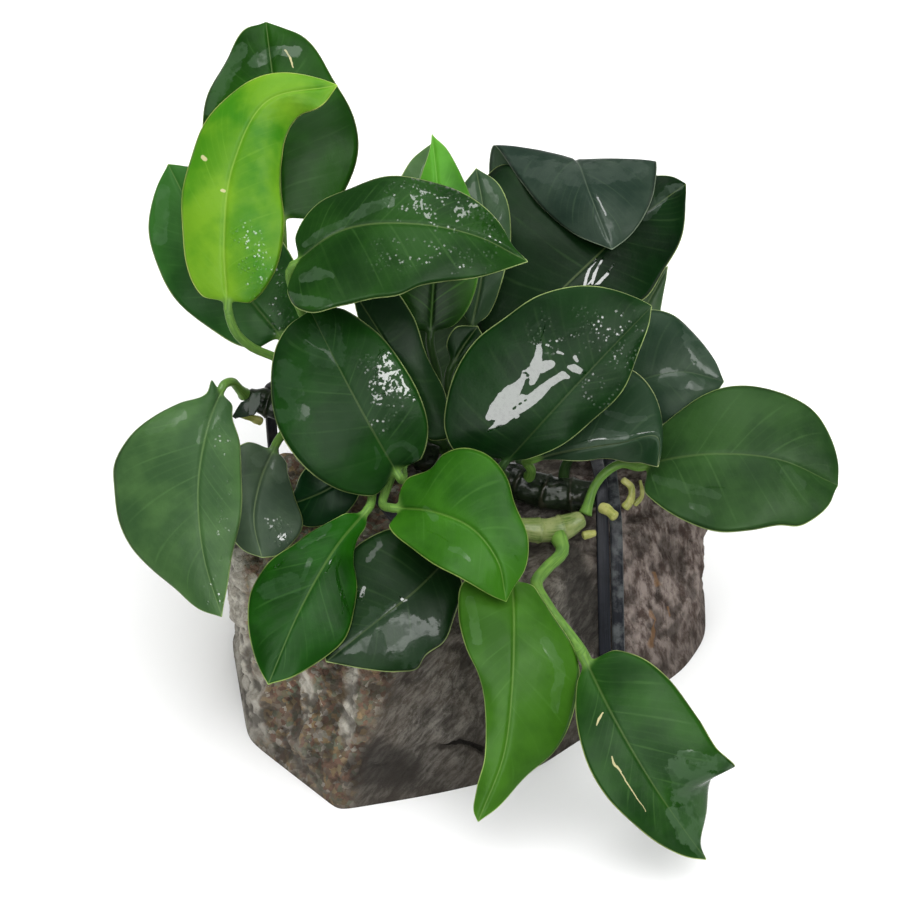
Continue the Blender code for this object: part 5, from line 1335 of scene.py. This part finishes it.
def stone_skin(name, material, settings):
    """The stone as rings: under it from its middle outwards, up its sides, over the rim and over the top.

    A side ring reaches out to the nearest of its leaning faces in each direction, plus lumps. The
    broken rock is laid on along the normal: coarse and fine random relief, crumbly left of the
    ridge, drawn out along a slope on the front, and pitted upright at the right. A groove follows
    the crack. Under the stone the hollows for the bands are lifted to their depth."""
    even = round_angles(STONE_COLUMNS)
    angles = even + 0.35 * np.sin(even + 0.5 * math.pi)
    levels = np.linspace(0.0, STONE_RIM_LEVEL, STONE_SIDE_ROWS)
    rings = [stone_ring(angles, share, 0.0, 0.0) for share in levels]
    for turn in np.linspace(0.0, 0.5 * math.pi, STONE_RIM_ROWS + 1)[1:]:
        inset, drop = STONE_RIM * (1.0 - math.cos(turn)), STONE_RIM * (1.0 - math.sin(turn))
        rings.append(stone_ring(angles, 1.0, inset, drop))
    for shrink in np.linspace(0.985, 0.02, STONE_TOP_ROWS):
        rings.append(stone_ring(angles, 1.0, STONE_RIM, 0.0, shrink))
    surface = np.array(rings)
    normals = ring_normals(surface)
    outward = surface - np.array((*STONE_MIDDLE, 20.0))
    normals = normals * np.sign(np.sum(normals * outward, axis=-1, keepdims=True))

    seen = as_seen(surface)
    front = faces_eye(normals, surface, -0.1, 0.15)
    ridge = np.array(STONE_RIDGE)[::-1]
    ridge_at = np.interp(seen[..., 1], ridge[:, 1], ridge[:, 0])
    edge_wander = 2.5 * grain(surface, 6.0, 70)
    left = 1.0 - smoothstep(-2.0, 2.0, seen[..., 0] - ridge_at + edge_wander)
    right = smoothstep(38.0, 46.0, seen[..., 0] + 0.25 * seen[..., 1] + 12.0 + edge_wander)
    right = right * front + (1.0 - front) * 0.5
    left = left * front + (1.0 - front) * 0.5
    middle = np.clip(1.0 - left - right, 0.0, 1.0)

    fibre_places = (surface @ STONE_GRAIN_AXES.T) * np.array((0.28, 1.0, 1.0))
    upright_places = surface * np.array((1.0, 1.0, 0.3))
    common = 0.45 * rough(surface, 5.0, 71, 2) + 0.26 * rough(surface, 2.6, 72, 3)
    facets = 0.45 * np.abs(grain(surface, 5.0, 73)) + 0.3 * np.abs(grain(surface, 3.0, 74))
    crumbs = 0.75 * rough(surface, 2.6, 75, 3, 0.6) - 0.5 * np.maximum(grain(surface, 3.4, 76) - 0.25, 0.0)
    fibres = 0.4 * rough(fibre_places, 2.4, 77, 3) - 0.5 * np.maximum(grain(fibre_places, 1.9, 78) - 0.4, 0.0)
    pits = 0.3 * rough(upright_places, 2.2, 79, 3)
    pits = pits - 1.3 * np.maximum(grain(upright_places, 1.7, 80) - 0.3, 0.0)
    height = common - facets + left * crumbs + middle * fibres + right * pits
    crack = np.exp(-(distance_to_line(seen, np.array(STONE_CRACK[0])[:, :2]) / 0.6) ** 2) * front
    height = settings.stone_relief * height - 1.3 * crack
    low = smoothstep(0.0, 3.0, surface[..., 2])
    surface = surface + (height * low)[..., None] * normals
    surface[..., 2] = np.maximum(surface[..., 2], 0.0)

    above = smoothstep(CHANNEL_DEPTH, CHANNEL_DEPTH + 0.6, surface[..., 2])
    lift = CHANNEL_DEPTH - np.minimum(surface[..., 2], CHANNEL_DEPTH)
    surface[..., 2] = surface[..., 2] + lift * channel_share(surface[..., :2]) * (1.0 - above)
    shares = np.linspace(0.03, 0.985, STONE_FLOOR_ROWS)[:, None, None]
    floor_flat = np.array(STONE_MIDDLE) + shares * (surface[0, :, :2] - STONE_MIDDLE)
    floor = np.concatenate((floor_flat, (CHANNEL_DEPTH * channel_share(floor_flat))[..., None]), axis=-1)

    # Painted light: the far left face, pale rock, is painted paler still where it faces left.
    pale_lit_face = np.maximum(smoothstep(-0.6, -0.85, normals[..., 0]),
                      smoothstep(-49.0, -52.5, seen[..., 0] + edge_wander))
    attributes = {
        "stone_zones": np.stack((left, pale_lit_face, right), axis=-1),
        "stone_seen": np.concatenate((seen, front[..., None]), axis=-1),
        "stone_lines": surface @ STONE_GRAIN_AXES.T,
        "stone_height": np.clip(height / 2.4 + 0.5, 0.0, 1.0),
    }
    for key, values in attributes.items():
        attributes[key] = np.concatenate((np.repeat(values[:1], STONE_FLOOR_ROWS, axis=0), values))
    return skin(name, np.concatenate((floor, surface)), attributes, material)


def stone_material(name, settings):
    """Broken rock. Left of the ridge it is made of crumbs, each a cell with its own tint: brown, red
    brown, ochre, grey green or pale. The front is grey brown with a slanting grain, the right
    face is pinkish brown with upright streaks and pits, and the far left face is pale, painted paler
    still as painted light. A crack and rust lie on it as strokes, and dark strokes of painted shade
    and a painted leaf shadow. Hollows are painted darker than edges as painted shade, and the foot is
    painted darker as painted shade."""
    material, tree, shader = new_material(name)
    left, pale_lit_face, right = parts_of(tree, carried(tree, "stone_zones"))
    height = carried(tree, "stone_height", "Fac")
    here = own_place(tree)
    ragged, facing = wandered(tree, "stone_seen", here, 260.0, 2.4)
    push = add(tree, "ShaderNodeTexNoise", {"Vector": here, "Scale": 700.0, "Detail": 2.0})
    push = vectors(tree, "MULTIPLY", push.outputs["Color"], (0.0016, 0.0016, 0.0016))
    speckle = noise(tree, here, 1150.0, 5.0, 0.72)
    broad = between(tree, noise(tree, here, 60.0, 4.0, 0.6), 0.35, 0.65)

    crumbs = add(tree, "ShaderNodeTexVoronoi", {"Vector": vectors(tree, "ADD", here, push), "Scale": 760.0})
    tint, shade, flake = parts_of(tree, crumbs.outputs["Color"])
    tints = [(between(tree, tint, low, high), tone) for low, high, tone in CRUMB_TINTS]
    crumb = layered(tree, CRUMB_COLOUR, *tints, (times(tree, shade, 0.6), (0.062, 0.052, 0.042)),
                    (between(tree, flake, 0.9, 0.95, 0.0, 0.8), (0.50, 0.47, 0.40)),
                    (times(tree, broad, 0.35), (0.185, 0.150, 0.105)))

    lines = vectors(tree, "MULTIPLY", carried(tree, "stone_lines"), (0.16, 1.0, 1.0))
    fibre = between(tree, noise(tree, lines, 0.85, 5.0, 0.68), 0.36, 0.66)
    front = layered(tree, (0.062, 0.056, 0.048), (fibre, (0.205, 0.190, 0.165)),
                    (times(tree, broad, 0.4), (0.110, 0.088, 0.066)))
    upright = between(tree, noise(tree, own_place(tree, (1.0, 1.0, 0.2)), 420.0, 5.0, 0.66), 0.36, 0.64)
    pits = between(tree, cells_of(tree, own_place(tree, (1.0, 1.0, 0.42)), 330.0), 0.12, 0.36, 1.0, 0.0)
    side = layered(tree, (0.082, 0.058, 0.049), (upright, (0.330, 0.275, 0.245)),
                   (times(tree, pits, 0.5), (0.050, 0.036, 0.030)))
    # Pale rock painted paler still, as painted light.
    pale_lit_side = mixed(tree, between(tree, noise(tree, here, 300.0, 4.0, 0.6), 0.35, 0.65),
                        (0.370, 0.345, 0.290), (0.650, 0.620, 0.540))

    up_height = parts_of(tree, here)[2]
    marks = [(times(tree, between(tree, strokes(tree, ragged, lines), 0.0, edge, 0.0, most), facing), tone)
             for lines, edge, most, tone in STONE_MARKS]
    colour = layered(
        tree, front, (left, crumb), (right, side), (pale_lit_face, pale_lit_side),
        (between(tree, speckle, 0.58, 0.74, 0.0, 0.45), (0.30, 0.28, 0.24)),
        (between(tree, speckle, 0.42, 0.28, 0.0, 0.6), (0.030, 0.025, 0.021)),
        # Painted shade in the hollows, and the raised parts lighter.
        (between(tree, height, 0.45, 0.18, 0.0, 0.6), (0.028, 0.023, 0.019)),
        (between(tree, height, 0.6, 0.88, 0.0, 0.25), (0.27, 0.245, 0.21)), *marks,
        # Painted shade: darker towards the foot.
        (between(tree, up_height, 0.0, 0.022, 0.5, 0.0), (0.040, 0.034, 0.028)))
    rounded = maths(tree, "SUBTRACT", 1.0, crumbs.outputs["Distance"])
    fine = plus(tree, times(tree, speckle, 0.7), times(tree, noise(tree, here, 2400.0, 3.0, 0.6), 0.3),
                times(tree, rounded, plus(tree, times(tree, left, 0.8), 0.1)), times(tree, fibre, 0.25))
    feed(tree, shader, {"Base Color": colour, "Normal": bump(tree, fine, 0.9, 0.0010),
                        "Roughness": plus(tree, times(tree, fibre, 0.15), settings.stone_roughness),
                        "Specular IOR Level": 0.05})
    return material


def band_line(node, start, end):
    """The middle line of a stretched band, from the outline of its solid in the band's upright plane.

    The outline's corners are eased by averaging the evenly read points round each place."""
    along = unit(np.subtract(end, start))
    points = places_of(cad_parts[node].data)
    flat = np.stack(((points[:, :2] - start) @ along, points[:, 2]), axis=-1)
    directions = round_directions(round_angles(BAND_DIRECTIONS))
    hull = flat[np.unique(np.argmax(flat @ directions.T, axis=0))]
    middle = hull.mean(axis=0)
    hull = hull[np.argsort(np.arctan2(*(hull - middle).T[::-1]))]
    outline = evenly_read(hull, BAND_RINGS)
    shifts = range(-BAND_EASE, BAND_EASE + 1)
    eased = sum(np.roll(outline, shift, axis=0) for shift in shifts) / len(shifts)
    tangents = unit(np.roll(eased, -1, axis=0) - np.roll(eased, 1, axis=0))
    outwards = np.stack((tangents[:, 1], -tangents[:, 0]), axis=-1)
    return along, eased - 0.5 * BAND_THICKNESS * outwards, outwards


def band_skin(name, start, end, material, seed):
    """A rubber band: a flat strap's section, rounded like a squared circle, carried round its line.

    The section leans a little to either side along the way, as a stretched band does."""
    along, middle, outwards = band_line(name, start, end)
    across = np.array((-along[1], along[0], 0.0))
    run = round_angles(len(middle))
    lean = 0.10 * np.sin(2.0 * run + seed) + 0.05 * np.sin(5.0 * run + 2.0 * seed)
    angles = round_angles(BAND_SIDES)
    wide = 0.5 * BAND_WIDTH * np.sign(np.cos(angles)) * np.abs(np.cos(angles)) ** 0.5
    thick = 0.5 * BAND_THICKNESS * np.sign(np.sin(angles)) * np.abs(np.sin(angles)) ** 0.6
    crown = 0.08 * (1.0 - (2.0 * wide / BAND_WIDTH) ** 2)
    out = thick[None, :] + crown[None, :] + lean[:, None] * 0.25 * wide[None, :]
    world = np.column_stack((start + middle[:, :1] * along, middle[:, 1]))
    world_out = np.column_stack((outwards[:, :1] * along, outwards[:, 1]))
    rings = world[:, None] + wide[None, :, None] * across + out[..., None] * world_out[:, None]
    piece = new_piece(name, rings.reshape(-1, 3), ring_cells(*rings.shape[:2], closed=True), material)
    stored = np.broadcast_arrays(run[:, None] * 20.0, wide[None, :], out)
    store(piece, "band_place", np.stack(stored, axis=-1))
    return piece


def band_material(name, colour, dust):
    """Black rubber: fine lengthwise drawn lines, dusty grey patches and worn edges."""
    material, tree, shader = new_material(name)
    run, wide, out = parts_of(tree, carried(tree, "band_place"))
    here = own_place(tree)
    drawn = noise(tree, drawn_out(tree, run, wide, 0.06, 2.2), 3.0, 3.0, 0.6)
    dusty = between(tree, noise(tree, here, 260.0, 4.0, 0.6), 0.42, 0.68)
    worn = between(tree, maths(tree, "ABSOLUTE", wide), 0.40 * BAND_WIDTH, 0.5 * BAND_WIDTH)
    shade = layered(tree, colour, (between(tree, drawn, 0.35, 0.65), tuple(1.8 * c for c in colour)),
                    (times(tree, dusty, 0.45), dust), (times(tree, worn, 0.4), dust))
    height = plus(tree, drawn, times(tree, noise(tree, here, 1600.0, 2.0), 0.4))
    feed(tree, shader, {"Base Color": shade, "Normal": bump(tree, height, 0.35, 0.0002),
                        "Roughness": plus(tree, times(tree, dusty, 0.2), 0.38),
                        "Specular IOR Level": 0.08})
    return material


def floor_material(name, colour):
    """Pale paper with a faint soft unevenness."""
    material, tree, shader = new_material(name)
    soft = between(tree, noise(tree, own_place(tree), 3.0, 2.0), 0.3, 0.7, 0.0, 0.03)
    feed(tree, shader, {"Base Color": mixed(tree, soft, colour, (0.8, 0.8, 0.8)), "Roughness": 0.9,
                        "Specular IOR Level": 0.0})
    return material


def number(name, description, default, low, high, **kind):
    return bpy.props.FloatProperty(name=name, description=description, default=default, min=low, max=high,
                                   **kind)


def paint(name, description, default):
    return bpy.props.FloatVectorProperty(name=name, description=description, default=default, size=3,
                                         min=0.0, max=1.0, subtype="COLOR")


class AnubiasPlantSettings(bpy.types.PropertyGroup):
    """Sizes and colours of the plant."""
    blade_thickness: number("Blade thickness", "Thickness of a blade between its veins, in mm", 0.5, 0.2, 1.5)
    quilting: number("Quilting", "How far the blade swells between its side veins, in mm", 0.04, 0.0, 1.0)
    vein_spacing: number("Vein spacing", "Distance between side veins along the midrib, in mm",
                         4.6, 2.0, 12.0)
    vein_strength: number("Vein strength", "How clearly the side veins show, as a share", 0.75, 0.0, 2.0)
    groove_depth: number("Midrib groove", "Depth of the groove along the midrib, in mm", 0.4, 0.0, 1.5)
    margin_wave: number("Margin wave", "Height of the waves along a blade's margin, in mm", 0.5, 0.0, 3.0)
    ripple: number("Ripple", "Height of the soft ripples of a blade, in mm", 0.45, 0.0, 3.0)
    stalk_radius: number("Stalk radius", "Radius of a leaf's stalk, in mm", 1.15, 0.5, 4.0)
    foot_flare: number("Foot flare", "How much wider a stalk is at its foot, as a share", 0.55, 0.0, 2.0)
    leaf_roughness: number("Leaf roughness", "Roughness of a leaf's skin", 0.36, 0.05, 1.0, subtype="FACTOR")
    # Painted sheen: how strongly the thin films are painted pale.
    painted_wet_sheen: number("Wet sheen", "Strength of the pale film where a leaf is wet", 0.22, 0.0, 1.0,
                      subtype="FACTOR")
    # The pale rim's colour also paints a highlight along the margin, and tints the midrib.
    rim_colour: paint("Rim colour", "Colour of a blade's thin rim", (0.38, 0.50, 0.18))
    vein_colour: paint("Vein colour", "Colour of the side veins", (0.18, 0.34, 0.11))
    stalk_colour: paint("Stalk colour", "Colour of a leaf's stalk", (0.055, 0.130, 0.028))
    underside_colour: paint("Underside colour", "Colour that an underside is paled towards",
                            (0.13, 0.22, 0.12))


class AnubiasStoneSettings(bpy.types.PropertyGroup):
    """Finish of the stone and the bands."""
    stone_relief: number("Stone relief", "Height of the broken rock's relief, as a share", 1.0, 0.0, 3.0)
    stone_roughness: number("Stone roughness", "Roughness of the rock", 0.72, 0.1, 1.0, subtype="FACTOR")
    band_colour: paint("Band colour", "Colour of the rubber bands", (0.008, 0.009, 0.012))


class AnubiasStageSettings(bpy.types.PropertyGroup):
    """Floor, light and camera."""
    floor_size: number("Floor size", "Width of the floor", 6.0, 1.0, 50.0, unit="LENGTH")
    floor_colour: paint("Floor colour", "Colour of the floor", (0.88, 0.88, 0.88))
    sky_strength: number("Sky strength", "Strength of the even light from all round", 0.54, 0.0, 5.0)
    room_front: number("Room in front", "Brightness of the room that gloss mirrors from the front",
                       0.04, 0.0, 5.0)
    room_back: number("Room behind", "Brightness of the room that gloss mirrors from behind", 0.55, 0.0, 5.0)
    light_power: number("Light power", "Power of all the soft lights together", 31.0, 0.0, 500.0,
                        unit="POWER")


class ANUBIAS_OT_leaves(bpy.types.Operator):
    """Builds every leaf, each with its stalk, veins and marks"""
    bl_idname = "anubias.leaves"
    bl_label = "Leaves"

    def execute(self, context):
        settings = context.scene.anubias_plant
        for seed, (name, leaf) in enumerate(LEAVES.items()):
            piece = leaf_skin(name, leaf, LOOKS[name], settings, seed + 1)
            stands_for(piece, name)
        return {"FINISHED"}


class ANUBIAS_OT_stems(bpy.types.Operator):
    """Builds the creeping stem, its young branch, the roots and what is left of old leaves"""
    bl_idname = "anubias.stems"
    bl_label = "Stems and Roots"

    def execute(self, context):
        barks = {name: stem_material(name, *look) for name, look in BARKS.items()}
        stems = [("rhizome", RHIZOME, RHIZOME_GRID, "rhizome_bark", rhizome_relief, "rhizome"),
                 ("rhizome_shoot", SHOOT, SHOOT_GRID, "shoot_bark", shoot_relief, "shoot")]
        for name, (places, start_radius, tip_radius) in ROOTS.items():
            points = list(zip(places, np.linspace(start_radius, tip_radius, len(places))))
            stems.append((name, points, ROOT_GRID, "root_bark", root_relief, "root"))
        for name, points, grid, bark, relief, slot in stems:
            stands_for(stem_skin(name, points, grid, barks[bark], relief), name)
        stands_for(scrap_skin("old_leaf_scrap", barks["old_leaf_skin"]), "old_leaf_scrap")
        return {"FINISHED"}


class ANUBIAS_OT_bands(bpy.types.Operator):
    """Builds the stretched rubber bands"""
    bl_idname = "anubias.bands"
    bl_label = "Rubber Bands"

    def execute(self, context):
        colour = tuple(context.scene.anubias_stone.band_colour)
        for seed, (name, (start, end, dust)) in enumerate(BANDS.items()):
            rubber = band_material(name + "_rubber", colour, dust)
            stands_for(band_skin(name, start, end, rubber, seed + 1.0), name)
        return {"FINISHED"}


class ANUBIAS_OT_stone(bpy.types.Operator):
    """Builds the broken stone"""
    bl_idname = "anubias.stone"
    bl_label = "Stone"

    def execute(self, context):
        settings = context.scene.anubias_stone
        piece = stone_skin("stone", stone_material("stone_rock", settings), settings)
        stands_for(piece, "stone")
        return {"FINISHED"}


class ANUBIAS_OT_stage(bpy.types.Operator):
    """Lays the floor, hangs the lights and stands the camera"""
    bl_idname = "anubias.stage"
    bl_label = "Floor, Light and Camera"

    def execute(self, context):
        settings = context.scene.anubias_stage
        half = 0.5 * settings.floor_size
        mesh = bpy.data.meshes.new("floor")
        mesh.from_pydata([(-half, -half, 0.0), (half, -half, 0.0), (half, half, 0.0), (-half, half, 0.0)],
                         [], [(0, 1, 2, 3)])
        mesh.materials.append(floor_material("floor_paper", tuple(settings.floor_colour)))
        floor = put_in_scene("floor", mesh)

        world = bpy.data.worlds.new("studio")
        world.use_nodes = True
        tree = world.node_tree
        background = next(node for node in tree.nodes if node.type == "BACKGROUND")
        toward = parts_of(tree, add(tree, "ShaderNodeTexCoord").outputs["Generated"])
        mirrored = between(tree, toward[1], 0.2, 0.9, settings.room_front, settings.room_back)
        is_gloss = add(tree, "ShaderNodeLightPath").outputs["Is Glossy Ray"]
        strength = mixed_value(tree, is_gloss, settings.sky_strength, mirrored)
        feed(tree, background, {"Color": (1.0, 1.0, 1.0), "Strength": strength})
        context.scene.world = world
        context.scene.view_settings.view_transform = "Standard"

        for name, where, size, share, is_window in LIGHTS:
            light = bpy.data.lights.new(name, "AREA")
            light.shape = "RECTANGLE"
            light.size, light.size_y = size
            light.energy = share * settings.light_power
            lamp = put_in_scene(name, light)
            lamp.location = where
            lamp.visible_glossy = is_window
            lamp.visible_diffuse = not is_window
            back = unit(np.array(where) - LIGHTS_AIM)
            lamp.rotation_euler = (math.acos(back[2]), 0.0, math.atan2(back[1], back[0]) + 0.5 * math.pi)

        camera = bpy.data.cameras.new("camera")
        camera.sensor_width = CAMERA_SENSOR
        camera.lens = CAMERA_LENS
        camera.clip_start = CAMERA_CLIP
        stand = put_in_scene("camera", camera)
        stand.location = tuple(EYE * MM)
        stand.rotation_euler = (0.5 * math.pi - VIEW_ELEVATION, 0.0, 0.0)
        context.scene.camera = stand
        return {"FINISHED"}


class ANUBIAS_PT_panel(bpy.types.Panel):
    """Lists the settings and the steps that build the plant"""
    bl_label = "Anubias on Stone"
    bl_idname = "ANUBIAS_PT_panel"
    bl_space_type = "VIEW_3D"
    bl_region_type = "UI"
    bl_category = "Anubias"

    def draw(self, context):
        for group in (context.scene.anubias_plant, context.scene.anubias_stone, context.scene.anubias_stage):
            box = self.layout.box()
            for key in group.__annotations__:
                box.prop(group, key)
        for operator in OPERATORS:
            self.layout.operator(operator.bl_idname)


SETTINGS = {
    "anubias_plant": AnubiasPlantSettings,
    "anubias_stone": AnubiasStoneSettings,
    "anubias_stage": AnubiasStageSettings,
}
OPERATORS = (ANUBIAS_OT_stone, ANUBIAS_OT_stems, ANUBIAS_OT_leaves, ANUBIAS_OT_bands, ANUBIAS_OT_stage)


def register():
    for group in (*SETTINGS.values(), *OPERATORS, ANUBIAS_PT_panel):
        bpy.utils.register_class(group)
    for key, group in SETTINGS.items():
        setattr(bpy.types.Scene, key, bpy.props.PointerProperty(type=group))


def unregister():
    for key in SETTINGS:
        delattr(bpy.types.Scene, key)
    for group in reversed((*SETTINGS.values(), *OPERATORS, ANUBIAS_PT_panel)):
        bpy.utils.unregister_class(group)


def main():
    register()
    bpy.ops.anubias.stone()
    bpy.ops.anubias.stems()
    bpy.ops.anubias.leaves()
    bpy.ops.anubias.bands()
    bpy.ops.anubias.stage()


if __name__ == "__main__":
    main()
